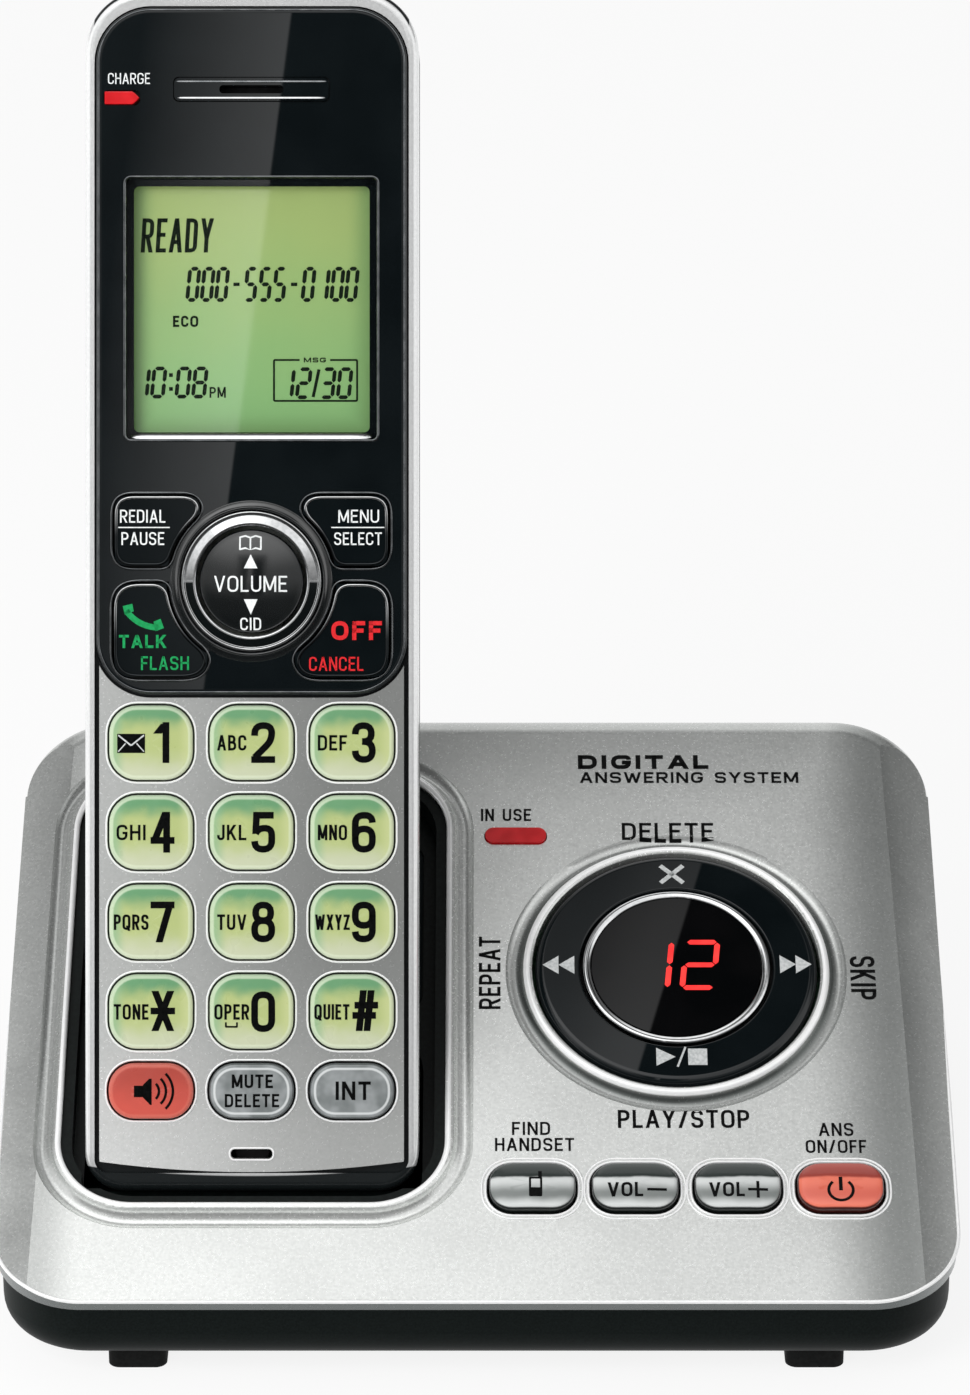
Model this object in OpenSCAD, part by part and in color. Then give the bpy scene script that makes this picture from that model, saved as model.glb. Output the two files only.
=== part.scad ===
// Cordless telephone: a handset standing in the cradle of an answering machine base.
// Axes: X to the right, Y to the back, Z up. The origin is on the table under the middle of the base.

/* [Base] */
// Width of the base
base_w = 138; // [134:1:150]
// Length of the sloping face, from its front edge to its back edge
face_len = 107.2; // [106:0.1:115]
// Slope of the face above the table, in degrees
face_tilt = 26; // [24:0.5:28]
// Height of the face's front edge above the table
front_h = 14.6; // [13:0.1:17]
// Thickness of the lip along the front edge
lip_t = 2.1; // [1.6:0.1:3]
// Rise of the parting line towards the back, in degrees
parting_rise = 8; // [6:0.5:10]
// Corner radius of the base at the front
front_corner_r = 13; // [10:0.5:15]
// Corner radius of the base at the back
back_corner_r = 14.5; // [11:0.5:17]
// Width of the sloping shoulders along the sides
shoulder_w = 11; // [10.5:0.5:12.5]
// Radius of the shoulders at the front, where they are shallow
shoulder_front_r = 40; // [30:1:60]
// Radius of the shoulders at the back, where they are deep
shoulder_back_r = 15; // [14:0.5:15.5]
// Height of the soft crease between the face and the shoulders
shoulder_crease = 0.4; // [0.2:0.05:0.5]
// Radius of the rolled lower edge
under_r = 5; // [3:0.5:6]
// Wall of the base shells
base_wall = 2.4; // [1.8:0.1:2.8]
// Step by which the lower shell stands in from the upper one
under_step = 0.9; // [0.6:0.1:1.2]
// Height of the rubber feet below the lower shell
foot_h = 3.7; // [2.5:0.1:4.5]
// Width of a rubber foot
foot_w = 8.4; // [6:0.1:11]
// Length of a rubber foot, front to back
foot_l = 10; // [7:0.5:13]
// Distance of the feet from the sides of the base
foot_side = 20.4; // [15:0.1:29]

/* [Cradle] */
// Gap between the handset and the recess on each side
recess_side_gap = 3.95; // [3:0.05:5]
// Distance of the recess from the left edge of the base
recess_margin = 8.75; // [8:0.05:11]
// Distance of the recess from the front edge of the face
recess_u = 16.3; // [15:0.1:19]
// Distance of the recess from the back edge of the face
recess_back = 12.4; // [11.5:0.1:14]
// Corner radius of the recess
recess_r = 11; // [8:0.5:14]
// Depth of the shelf behind the handset
shelf_depth = 4; // [3.6:0.1:5]
// Wall of the cradle insert
insert_wall = 1.6; // [1.2:0.1:2]
// Radius of the bright bead round the recess and the dial
bead_r = 0.8; // [0.5:0.05:1]
// Radius of the hollow moat round each bead
moat_r = 1.5; // [1.2:0.1:1.8]
// Depth of the moat
moat_depth = 0.8; // [0.5:0.1:1]

/* [Speaker grille] */
// Rows of sound holes
grille_rows = 7; // [5:1:7]
// Columns of sound holes
grille_columns = 11; // [7:1:11]
// Distance of the grille from the sides of the recess
grille_side = 3.75; // [3.5:0.05:6]
// Distance of the grille from the back of the recess
grille_back = 8.75; // [7:0.05:11]
// Diameter of a sound hole
grille_hole_d = 1.6; // [1:0.1:2]

/* [Dial] */
// Distance of the dial's edge from the right edge of the base
dial_from_right = 18.5; // [17.5:0.1:20.5]
// Distance of the dial's edge from the recess
dial_from_recess = 13.05; // [12.5:0.05:14.5]
// Distance of the dial's centre up the face
dial_u = 57.8; // [54:0.1:60]
// Radius of the counter window in the middle, as a part of the dial's radius
window_part = 0.6; // [0.55:0.01:0.62]
// Width of the trim ring round the window
trim_w = 1.2; // [0.8:0.1:1.6]
// Height of the dial above the face
dial_rise = 1; // [0.6:0.1:1.6]

/* [Base keys] */
// Space between base keys
base_key_space = 2.35; // [2.3:0.05:2.9]
// Height of a base key along the face
base_key_l = 8.2; // [7:0.1:9]
// Distance of the last base key from the right edge
base_key_from_right = 10.5; // [9.5:0.1:12]
// Distance of the first base key from the recess
base_key_from_recess = 6.2; // [5.5:0.1:7.5]
// Distance of the base keys up the face
base_key_u = 19.1; // [18.5:0.1:21]
// Height of a base key above the face
base_key_rise = 1.6; // [1:0.1:2.4]

/* [Handset] */
// Width of the handset
handset_w = 48; // [47.5:0.1:50]
// Length of the handset
handset_len = 173; // [172:0.5:190]
// Thickness of the handset over the battery door
handset_t = 23; // [22.5:0.1:24]
// Thickness of the handset's foot
foot_t = 20.5; // [20:0.1:21]
// Length of the foot that stands in the cradle
foot_len = 38; // [37:0.5:42]
// Lean of the handset from upright, in degrees
handset_lean = 25; // [23:0.5:27]
// Depth of the front shell, down to the handset's parting line
parting_t = 9.5; // [9.3:0.1:10.5]
// Corner radius at the top of the handset
head_r = 9; // [8.6:0.1:11]
// Corner radius at the bottom of the handset
chin_r = 5.6; // [5:0.1:8]
// Radius of the front edges
rail_r = 1.4; // [0.8:0.1:2]
// Radius of the foot's back edges
foot_edge_r = 4.5; // [3.5:0.1:4.8]
// Radius of the back edges of the head and of the battery door
back_edge_r = 8; // [6:0.1:8.4]
// Wall of the handset shells
handset_wall = 1.8; // [1.4:0.1:2]

/* [Handset front] */
// Width of the dark front mask
mask_w = 44.9; // [44:0.1:45.2]
// Distance of the mask's lower edge from the bottom of the handset
mask_bottom = 71.3; // [71:0.1:72]
// Distance of the mask's upper edge from the top of the handset
mask_top_gap = 2.7; // [2:0.1:4]
// Corner radius of the mask
mask_r = 8; // [6:0.1:9]
// Height of the mask above the keypad plate
mask_rise = 0.6; // [0.3:0.1:1]
// Width of the keypad plate
plate_w = 43.8; // [43.4:0.1:44.2]
// Distance of the keypad plate from the bottom of the handset
plate_bottom = 2.8; // [2.4:0.1:3.2]
// Width of the display opening
display_w = 33.9; // [30:0.1:34.5]
// Distance of the display opening from the earpiece
display_below_ear = 13.8; // [13.5:0.1:15]
// Distance of the display opening from the rocker's centre
display_above_nav = 21.45; // [21.2:0.05:22.5]
// Width of the slope round the display
display_border = 1; // [0.6:0.1:1.2]
// Distance of the earpiece from the top of the handset
ear_drop = 14.6; // [13:0.1:15]
// Width of the earpiece trim
ear_w = 22.2; // [18:0.1:24]
// Height of the earpiece trim
ear_l = 3.3; // [2.8:0.1:4]

/* [Handset keys] */
// Width of a number key
key_w = 12; // [11:0.1:12.2]
// Height of a number key
key_l = 10.7; // [10:0.1:10.9]
// Corner radius of a number key
key_r = 4; // [2.5:0.1:5]
// Distance between key columns
key_pitch_x = 14.45; // [14.3:0.05:14.6]
// Distance between key rows
key_pitch_w = 12.88; // [12.8:0.02:13]
// Distance of the lowest number row from the bottom of the handset
key_first_w = 25.9; // [25.7:0.1:26]
// Height of a key above the keypad plate
key_rise = 1.3; // [0.8:0.1:1.8]
// Height of a key in the lowest row
low_key_l = 8; // [7:0.1:8.2]
// Distance of the lowest row from the bottom of the handset
low_key_at = 14.5; // [14.4:0.1:14.7]
// Distance of the rocker's centre from the bottom of the handset
nav_at = 87.75; // [87.5:0.05:88]
// Diameter of the ring round the rocker
nav_ring_d = 20.2; // [19:0.1:20.6]
// Diameter of the rocker
nav_d = 14.9; // [13:0.1:15.2]
// Radius of the hollow side of the four function keys
soft_ring_r = 12.2; // [12:0.1:12.6]

/* [Fits and travels] */
// Gap between fixed pieces that fit together
fit = 0.15; // [0.1:0.05:0.25]
// Gap between pieces that move past each other
run = 0.3; // [0.3:0.05:0.4]
// Travel of a handset key
key_travel = 0.8; // [0.5:0.05:0.9]
// Travel of a base key
base_key_travel = 0.9; // [0.5:0.05:1]
// Width of the flange that keeps a key in its opening
flange_w = 0.7; // [0.5:0.05:0.72]

/* [Hidden] */
$fn = 64;

silver = [0.72, 0.72, 0.72];
charcoal = [0.1, 0.12, 0.12];
gloss_black = [0.03, 0.04, 0.04];
rubber_black = [0.05, 0.05, 0.05];
board_green = [0.1, 0.35, 0.2];
silicone_grey = [0.6, 0.62, 0.6];
key_green = [0.86, 0.9, 0.62];
key_red = [0.85, 0.32, 0.27];
key_grey = [0.55, 0.55, 0.55];
clear_grey = [0.75, 0.77, 0.77];
lens_red = [0.85, 0.1, 0.12];
metal = [0.8, 0.78, 0.7];

// Corner radius of keys, lenses and slots, as parts of their height
base_key_round = 0.42;
in_use_round = 0.46;
charge_round = 0.4;
slot_round = 0.45;
// Corner radius of the openings in the mask
mask_opening_r = 0.8;
// Reach of a cut past the faces that it opens
over = 1;
// Reach of a cut that has to clear the whole part
far = 200;

// Base outline
parting_run = lip_t * sin(face_tilt);
parting_front_h = front_h - lip_t * cos(face_tilt);
face_back_y = face_len * cos(face_tilt);
face_back_h = front_h + face_len * sin(face_tilt);
// Length of the back wall, from the face down to the parting line
back_wall_len = (face_back_h - parting_front_h - (face_back_y - parting_run) * tan(parting_rise))
  / (cos(face_tilt) + sin(face_tilt) * tan(parting_rise));
base_d = face_back_y + back_wall_len * sin(face_tilt);
front_y = -base_d / 2;
back_y = base_d / 2;
under_front_y = front_y + parting_run;
under_back_y = back_y - under_step;
under_w = base_w - 2 * under_step;
// Fall of the shoulders at the back, which the rolled back edge takes up
back_roll_r = shoulder_back_r - sqrt(pow(shoulder_back_r, 2) - pow(shoulder_w, 2)) - shoulder_crease;
shoulder_cone = atan((shoulder_front_r - shoulder_back_r) / face_len);
shoulder_cut_h = 0.75 * shoulder_w;
floor_top = foot_h + base_wall;
foot_x = base_w / 2 - foot_side;

// Cradle: the foot's lower front edge stands behind the recess edge and a little below the face
recess_w = handset_w + 2 * recess_side_gap;
recess_len = face_len - recess_u - recess_back;
cradle_x = -base_w / 2 + recess_margin + recess_w / 2;
recess_right = cradle_x + recess_w / 2;
foot_setback = 3;
foot_drop = 1;
foot_u = recess_u + foot_setback;
lean_in_face = face_tilt + handset_lean;
insert_flange_w = 1.6;
insert_flange_t = 1.2;
pocket_gap = 0.5;
pocket_r = 4;
insert_rim_drop = 0.3;
tub_low = shelf_depth + insert_wall;

// Place where the back of the pocket wall meets the shelf
pocket_back_t = foot_t + pocket_gap + insert_wall;
pocket_back_w = (pocket_back_t * sin(lean_in_face) + foot_drop - shelf_depth) / cos(lean_in_face);
pocket_back_u = foot_u + pocket_back_w * sin(lean_in_face) + pocket_back_t * cos(lean_in_face);

// Speaker grille on the shelf
grille_margin = 1.2;
grille_ledge = 0.8;
grille_front_u = pocket_back_u + grille_margin + grille_ledge;
grille_w = recess_w - 2 * grille_side;
grille_l = recess_u + recess_len - fit - insert_wall - grille_back - grille_front_u;
grille_u = grille_front_u + grille_l / 2;
grille_pitch_x = grille_w / grille_columns;
grille_pitch_u = grille_l / grille_rows;
grille_corner_r = 3;
grille_t = insert_wall / 2;

// Bead and moat that frame the recess and the dial
bead_sunk = 0.7;
bead_at = bead_sunk * bead_r;
moat_half = sqrt(moat_r * moat_r - pow(moat_r - moat_depth, 2));
moat_overlap = 0.1;
moat_at = bead_at + bead_r + moat_half - moat_overlap;

// Key stack under the base face, as depths
key_gap = 0.35;
dome_h = 0.4;
mat_t = 0.7;
board_t = 1.6;
base_flange_t = 1;
base_flange_top = base_wall + run;
base_dome_top = base_flange_top + base_flange_t + base_key_travel + run;
base_mat_top = base_dome_top + dome_h;
base_board_top = base_mat_top + mat_t;

// Base keys, spread between the recess and the right edge
base_key_w = (base_w / 2 - base_key_from_right - recess_right - base_key_from_recess
  - 3 * base_key_space) / 4;
base_key_pitch = base_key_w + base_key_space;

// Dial and counter
dial_r = (base_w / 2 - dial_from_right - recess_right - dial_from_recess) / 2;
dial_x = base_w / 2 - dial_from_right - dial_r;
window_r = window_part * dial_r;
dial_gap = 0.5;
dial_hole_r = dial_r + dial_gap;
trim_r = window_r + fit + trim_w;
dial_in_r = trim_r + dial_gap;
dial_t = 2;
dial_low = dial_t - dial_rise;
dial_tilt = 2;
carrier_in_r = window_r + dial_gap;
carrier_inset = 2.4;
carrier_r = dial_r - carrier_inset;
carrier_t = 1.1;
carrier_low = base_dome_top - run - carrier_r * sin(dial_tilt);
lug_at = (dial_in_r + carrier_r) / 2;
lug_w = 3;
lug_l = 2.4;
window_t = 1.6;
window_wall = 1.2;
trim_flange_t = 0.6;
// Lit counter behind the window, as parts of the window's radius
counter_w_part = 1.44;
counter_l_part = 0.88;
counter_w = counter_w_part * window_r;
counter_l = counter_l_part * window_r;

// In-use light
in_use_w = 9.2;
in_use_l = 2.8;
in_use_from_recess = 10.25;
in_use_x = recess_right + in_use_from_recess;
in_use_from_dial = 25.05;
in_use_u = dial_u + in_use_from_dial;
in_use_rise = 0.4;

// Board in the base, right of the cradle; its left posts stand clear of the in-use light
board_side_gap = 1.6;
board_inset = 7;
board_front_margin = 2;
board_back_inset = 13.3;
board_left = recess_right + insert_flange_w + board_side_gap;
board_right = base_w / 2 - board_inset;
board_front_u = base_key_u - base_key_l / 2 - board_front_margin;
board_back_u = face_len - board_back_inset;
post_r = 2;
post_inset = 3.5;
post_in_use_gap = 1;
post_left_x = in_use_x + in_use_w / 2 + post_in_use_gap + post_r;
post_right_x = board_right - post_inset;
post_front_gap = 14;
post_front_u = base_key_u + post_front_gap;
post_back_u = board_back_u - post_inset;

// Screws
screw_r = 1.4;
screw_head_r = 2.8;
screw_head_h = 2;
screw_bore_gap = 0.1;
base_screw_side = 11;
base_screw_x = base_w / 2 - base_screw_side;
base_screw_front = 10.5;
base_screw_back = 10.5;
base_screw_len = 9;
tower_r = 4.4;
tower_h = 3.2;
tower_top = floor_top + tower_h;
boss_r = 3.2;
screw_sink = 0.4;

// Jacks in the back wall
jack_lift = 0.4;
jack_h0 = foot_h + under_r + jack_lift;
line_jack_x = 22;
line_jack_w = 13;
line_jack_h = 12.5;
line_jack_d = 13;
power_jack_x = 40;
power_jack_w = 9.5;
power_jack_h = 11;
power_jack_d = 12;
power_bore_r = 3.1;
power_pin_r = 1;

// Handset levels, as depths behind the keypad plate
panel_t = 1.4;
front_wall_t = 1.6;
front_floor = panel_t + front_wall_t;
flange_t = 0.8;
flange_top = front_floor + run;
dome_top = flange_top + flange_t + key_travel + run;
mat_top = dome_top + dome_h;
board_top = mat_top + mat_t;
// Ends of a key's flange, drawn in where two rows of keys pass each other
flange_end_w = min(flange_w,
  (key_first_w - low_key_at - key_l / 2 - low_key_l / 2 - run) / 2 - key_gap);
mask_len = handset_len - mask_top_gap - mask_bottom;
mask_bevel = 0.9;
chin_bow = 1.5;
bow_r = plate_w * plate_w / 8 / chin_bow + chin_bow / 2;
crown_r = 28;
low_key_w = 12.2;
low_key_r = 3.7;
// Function keys beside the rocker: the upper pair, then the lower pair
soft_x = [13.5, 13];
soft_y = [7.2, -7.1];
soft_w = [12.2, 13.4];
soft_l = [10, 13.4];
soft_r = [1.6, 2.4];
soft_rise = 0.3;
nav_gap = 0.5;
nav_tilt = 3;
nav_flange_w = 1.4;
nav_crown_r = 22;
raised_inset = 0.5;

// Earpiece and display, hung from the top of the handset and the rocker
ear_at = handset_len - ear_drop;
display_low = nav_at + display_above_nav;
display_l = ear_at - display_below_ear - display_low;
display_at = display_low + display_l / 2;

// Handset insides
handset_post_r = 1.5;
post_low_w = 6;
post_low_x = 12;
post_high_inset = 4.5;
post_high_x = handset_w / 2 - post_high_inset;
post_high_gap = 5.6;
post_high_w = display_low - post_high_gap;
lcd_border = 2;
mic_r = 2.5;
mic_t = 2.6;
mic_gap = 3.2;
mic_slot_drop = 0.6;
mic_at = plate_bottom + mic_gap;
mic_slot_w = 6;
mic_slot_l = 1.4;
ear_speaker_r = 9;
ear_speaker_t = 4;
ear_slot_w = 9.2;
ear_slot_l = 1.2;
charge_w = 5;
charge_l = 1.9;
charge_inset = 3.85;
charge_drop = 1.2;
charge_x = charge_inset - mask_w / 2;
charge_at = ear_at - charge_drop;
charge_pipe_r = 0.7;
handset_screw_inset = 7;
handset_screw_x = handset_w / 2 - handset_screw_inset;
handset_screw_at = handset_len - handset_screw_inset;
handset_screw_len = 8;
ringer_r = 11;
ringer_t = 5;
ringer_drop = 45;
ringer_at = handset_len - ringer_drop;
ringer_slots = 5;
ringer_slot_w = 15;
ringer_slot_l = 1.6;
ringer_slot_pitch = 3.6;

// Battery
cell_r = 5.1;
cell_len = 44.5;
tray_margin = 6;
battery_at = foot_len + tray_margin;
tray_wall = 1.2;
tray_slack = 2;
tray_w = 4 * cell_r + tray_slack;
tray_l = cell_len + tray_slack;
tray_gap = 1;
tray_floor = board_top + board_t + tray_gap + tray_wall;
door_side = 4;
door_w = handset_w - 2 * door_side;
door_len = tray_l + tray_margin + 1.5;
door_top = foot_len + door_len;
tongue_w = 24;
tongue_l = 2;
tongue_t = 1;
head_inset = 5;
head_back = handset_t - handset_wall;

// Charging contacts on the end of the foot
contact_x = 9;
contact_t = 12.6;
contact_w = 4.8;
contact_l = 3.8;
contact_sink = 0.7;
contact_plate_t = 0.6;
contact_tip_gap = 0.4;
contact_tip_w = 3.2;
contact_tip_l = 2.4;
contact_tip_len = 6;

number_keys = [
  "key_1", "key_2", "key_3", "key_4", "key_5", "key_6",
  "key_7", "key_8", "key_9", "key_star", "key_0", "key_hash"
];
low_keys = ["key_speaker", "key_mute", "key_intercom"];
soft_keys = ["key_redial", "key_menu", "key_talk", "key_off"];
base_keys = ["key_find", "key_volume_down", "key_volume_up", "key_answer"];

function column_x(i) = (i % 3 - 1) * key_pitch_x;
function row_w(i) = key_first_w + (3 - floor(i / 3)) * key_pitch_w;
function base_key_x(i) = base_w / 2 - base_key_from_right - base_key_w / 2 - (3 - i) * base_key_pitch;
function soft_side(i) = i % 2 == 0 ? -1 : 1;
function grille_place(i, count, pitch) = (i - (count - 1) / 2) * pitch;

// Frame of the sloping face: Y runs up the face and Z stands out of it
module on_face() {
  translate([0, front_y, front_h]) rotate([face_tilt, 0, 0]) children();
}

// Frame of the handset: Y runs from front to back and Z from foot to head
module on_handset() {
  on_face() translate([cradle_x, foot_u, -foot_drop]) rotate([-lean_in_face, 0, 0]) children();
}

// A drawing of the handset's front, with Y up the handset, made solid between two depths
module between(t0, t1) {
  translate([0, t1, 0]) rotate([90, 0, 0]) linear_extrude(t1 - t0) children();
}

// A drawing on the face made solid between two depths below it
module under_face(d0, d1) {
  translate([0, 0, -d1]) linear_extrude(d1 - d0) children();
}

// Outline from y = 0 to y = l with its own corner radius at each end
module end_rounded(w, l, r_front, r_back) {
  translate([-w / 2, r_front]) square([w, l - r_front - r_back]);
  translate([-w / 2 + r_front, 0]) square([w - 2 * r_front, l / 2]);
  translate([-w / 2 + r_back, l / 2]) square([w - 2 * r_back, l / 2]);
  for (side = [-1, 1]) {
    translate([side * (w / 2 - r_front), r_front]) circle(r_front);
    translate([side * (w / 2 - r_back), l - r_back]) circle(r_back);
  }
}

module rounded_rect(w, l, r) {
  translate([0, -l / 2]) end_rounded(w, l, r, r);
}

// Half section of a slab whose upper edge is rolled; its top lies on the X axis
module rolled_section(reach, h, e) {
  translate([0, -h]) square([reach - e, h]);
  translate([0, -h]) square([reach, h - e]);
  translate([reach - e, -e]) intersection() {
    circle(e);
    square(e);
  }
}

// Slab with rounded corners and a rolled edge all round its top, from y = 0 to y = l
module rolled_slab(w, l, h, r_front, r_back, e) {
  for (side = [0, 1]) mirror([side, 0, 0]) {
    translate([0, l - r_back, 0]) rotate([90, 0, 0])
      linear_extrude(l - r_front - r_back) rolled_section(w / 2, h, e);
    translate([w / 2 - r_front, r_front, 0]) rotate_extrude() rolled_section(r_front, h, e);
    translate([w / 2 - r_back, l - r_back, 0]) rotate_extrude() rolled_section(r_back, h, e);
  }
  translate([w / 2 - r_front, l / 2, 0]) rotate([90, 0, -90])
    linear_extrude(w - 2 * r_front) rolled_section(l / 2, h, e);
  translate([r_back - w / 2, l / 2, 0]) rotate([90, 0, 90])
    linear_extrude(w - 2 * r_back) rolled_section(l / 2, h, e);
}

// Round bead run along a rounded rectangle that is centred on the origin
module rect_bead(w, l, r, bead) {
  for (turn = [0, 180]) rotate([0, 0, turn]) {
    translate([w / 2, -(l / 2 - r), 0]) rotate([-90, 0, 0]) cylinder(r = bead, h = l - 2 * r);
    translate([-(w / 2 - r), l / 2, 0]) rotate([0, 90, 0]) cylinder(r = bead, h = w - 2 * r);
    translate([w / 2 - r, l / 2 - r, 0]) rotate_extrude(angle = 90) translate([r, 0]) circle(bead);
    translate([-(w / 2 - r), l / 2 - r, 0]) rotate([0, 0, 90])
      rotate_extrude(angle = 90) translate([r, 0]) circle(bead);
  }
}

module ring(r_out, r_in, h) {
  difference() {
    cylinder(r = r_out, h = h);
    translate([0, 0, -over]) cylinder(r = r_in, h = h + 2 * over);
  }
}

// Everything below the line where the two base shells meet
module below_parting() {
  translate([0, under_front_y, parting_front_h]) rotate([parting_rise, 0, 0])
    translate([-far, -far, -far]) cube([2 * far, 2 * far, far]);
}

module above_parting() {
  translate([0, under_front_y, parting_front_h]) rotate([parting_rise, 0, 0])
    translate([-far, -far, 0]) cube([2 * far, 2 * far, far]);
}

// What the shoulder takes off the right side: all that lies outside a cone which rests against the face
module shoulder_cut(inset) {
  shoulder_x = base_w / 2 - shoulder_w;
  difference() {
    translate([shoulder_x, -over, -shoulder_cut_h - inset])
      cube([shoulder_w + over, face_len + 2 * over, shoulder_cut_h + inset + shoulder_crease]);
    translate([shoulder_x, 0, shoulder_crease]) rotate([shoulder_cone - 90, 0, 0])
      translate([0, shoulder_front_r, -2 * over])
        cylinder(r1 = shoulder_front_r - inset + 2 * over * tan(shoulder_cone),
          r2 = shoulder_back_r - inset - 2 * over * tan(shoulder_cone), h = face_len + 4 * over, $fn = 180);
  }
}

// Solid form of the upper shell, drawn in by the wall for its inside
module top_form(inset) {
  form_h = back_wall_len + over;
  form_w = base_w - 2 * inset;
  form_l = face_len - 2 * inset;
  front_r = front_corner_r - inset;
  back_r = back_corner_r - inset;
  on_face() difference() {
    translate([0, inset, -inset]) {
      translate([0, 0, -form_h]) linear_extrude(form_h) {
        translate([-form_w / 2, front_r]) square([form_w, form_l - front_r - back_r]);
        translate([front_r - form_w / 2, 0]) square([form_w - 2 * front_r, form_l / 2]);
        for (side = [-1, 1]) translate([side * (form_w / 2 - front_r), front_r]) circle(front_r);
      }
      translate([back_r - form_w / 2, form_l / 2, 0]) rotate([90, 0, 90])
        linear_extrude(form_w - 2 * back_r) rolled_section(form_l / 2, form_h, back_roll_r - inset);
      for (side = [-1, 1]) translate([side * (form_w / 2 - back_r), form_l - back_r, 0])
        rotate_extrude() rolled_section(back_r, form_h, back_roll_r - inset);
    }
    for (side = [0, 1]) mirror([side, 0, 0]) shoulder_cut(inset);
  }
}

// Solid form of the lower shell
module under_form(inset) {
  translate([0, under_front_y + inset, foot_h + inset]) mirror([0, 0, 1])
    rolled_slab(under_w - 2 * inset, under_back_y - under_front_y - 2 * inset, back_wall_len,
      front_corner_r - inset, back_corner_r - inset, under_r - inset);
}

module at_recess() {
  translate([cradle_x, recess_u + recess_len / 2, 0]) children();
}

module at_dial() {
  translate([dial_x, dial_u, 0]) children();
}

module at_grille() {
  translate([cradle_x, grille_u, 0]) children();
}

module at_base_key(i) {
  translate([base_key_x(i), base_key_u, 0]) children();
}

module at_in_use() {
  translate([in_use_x, in_use_u, 0]) children();
}

module at_base_screws() {
  for (side = [-1, 1], y = [front_y + base_screw_front, back_y - base_screw_back])
    translate([side * base_screw_x, y, 0]) children();
}

module at_board_posts() {
  for (x = [post_left_x, post_right_x], u = [post_front_u, post_back_u]) translate([x, u, 0]) children();
}

module at_feet() {
  for (side = [-1, 1], y = [under_front_y + under_r, under_back_y - under_r - foot_l])
    translate([side * foot_x, y + foot_l / 2, 0]) children();
}

module base_key_outline(grow) {
  rounded_rect(base_key_w + 2 * grow, base_key_l + 2 * grow, base_key_round * base_key_l + grow);
}

module in_use_outline(grow) {
  rounded_rect(in_use_w + 2 * grow, in_use_l + 2 * grow, in_use_round * in_use_l + grow);
}

module base_top_shell() {
  color(silver) difference() {
    union() {
      difference() {
        top_form(0);
        top_form(base_wall);
      }
      on_face() {
        at_recess() rect_bead(recess_w + 2 * bead_at, recess_len + 2 * bead_at, recess_r + bead_at, bead_r);
        at_dial() rotate_extrude() translate([dial_hole_r + bead_at, 0]) circle(bead_r);
        at_board_posts() translate([0, 0, -base_board_top])
          cylinder(r = post_r, h = base_board_top - base_wall / 2);
      }
      intersection() {
        top_form(0);
        at_base_screws() translate([0, 0, tower_top]) cylinder(r = boss_r, h = far);
      }
    }
    difference() {
      below_parting();
      at_base_screws() translate([0, 0, tower_top]) cylinder(r = boss_r, h = far);
    }
    at_base_screws() cylinder(r = screw_r + screw_bore_gap, h = foot_h + base_screw_len + over);
    on_face() {
      at_recess() {
        translate([0, 0, moat_r - moat_depth])
          rect_bead(recess_w + 2 * moat_at, recess_len + 2 * moat_at, recess_r + moat_at, moat_r);
        under_face(-over - bead_r, base_wall + over) rounded_rect(recess_w, recess_len, recess_r);
      }
      at_dial() {
        translate([0, 0, moat_r - moat_depth])
          rotate_extrude() translate([dial_hole_r + moat_at, 0]) circle(moat_r);
        translate([0, 0, -base_wall - over]) cylinder(r = dial_hole_r, h = base_wall + 2 * over);
      }
      for (i = [0:3]) at_base_key(i) under_face(-over, base_wall + over) base_key_outline(key_gap);
      at_in_use() under_face(-over, base_wall + over) in_use_outline(fit);
    }
  }
}

module base_bottom_shell() {
  color(charcoal) difference() {
    union() {
      difference() {
        under_form(0);
        under_form(base_wall);
        above_parting();
      }
      intersection() {
        under_form(0);
        at_base_screws() translate([0, 0, foot_h]) cylinder(r = tower_r, h = tower_top - foot_h);
      }
      jack_shelf(line_jack_x, line_jack_w, line_jack_d);
      jack_shelf(power_jack_x, power_jack_w, power_jack_d);
    }
    at_base_screws() {
      cylinder(r = screw_head_r + fit, h = foot_h + screw_sink + screw_head_h);
      cylinder(r = screw_r + screw_bore_gap, h = tower_top + over);
    }
    at_feet() linear_extrude(floor_top - base_wall / 2) foot_outline(fit);
    jack_opening(line_jack_x, line_jack_w, line_jack_h);
    jack_opening(power_jack_x, power_jack_w, power_jack_h);
  }
}

// Shelf on the floor that a jack stands on
module jack_shelf(x, w, d) {
  translate([x - w / 2, under_back_y - d, floor_top - base_wall / 2])
    cube([w, d - base_wall, jack_h0 - floor_top + base_wall / 2]);
}

module jack_opening(x, w, h) {
  translate([x - w / 2 - fit, under_back_y - base_wall - over, jack_h0])
    cube([w + 2 * fit, base_wall + 2 * over, h + fit]);
}

module foot_outline(grow) {
  rounded_rect(foot_w + 2 * grow, foot_l + 2 * grow, foot_w / 5);
}

module rubber_feet() {
  color(rubber_black) at_feet() linear_extrude(floor_top - base_wall / 2) foot_outline(0);
}

module base_screws() {
  color(metal) at_base_screws() translate([0, 0, foot_h + screw_sink]) {
    cylinder(r = screw_head_r, h = screw_head_h);
    cylinder(r = screw_r, h = base_screw_len - screw_sink);
  }
}

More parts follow.
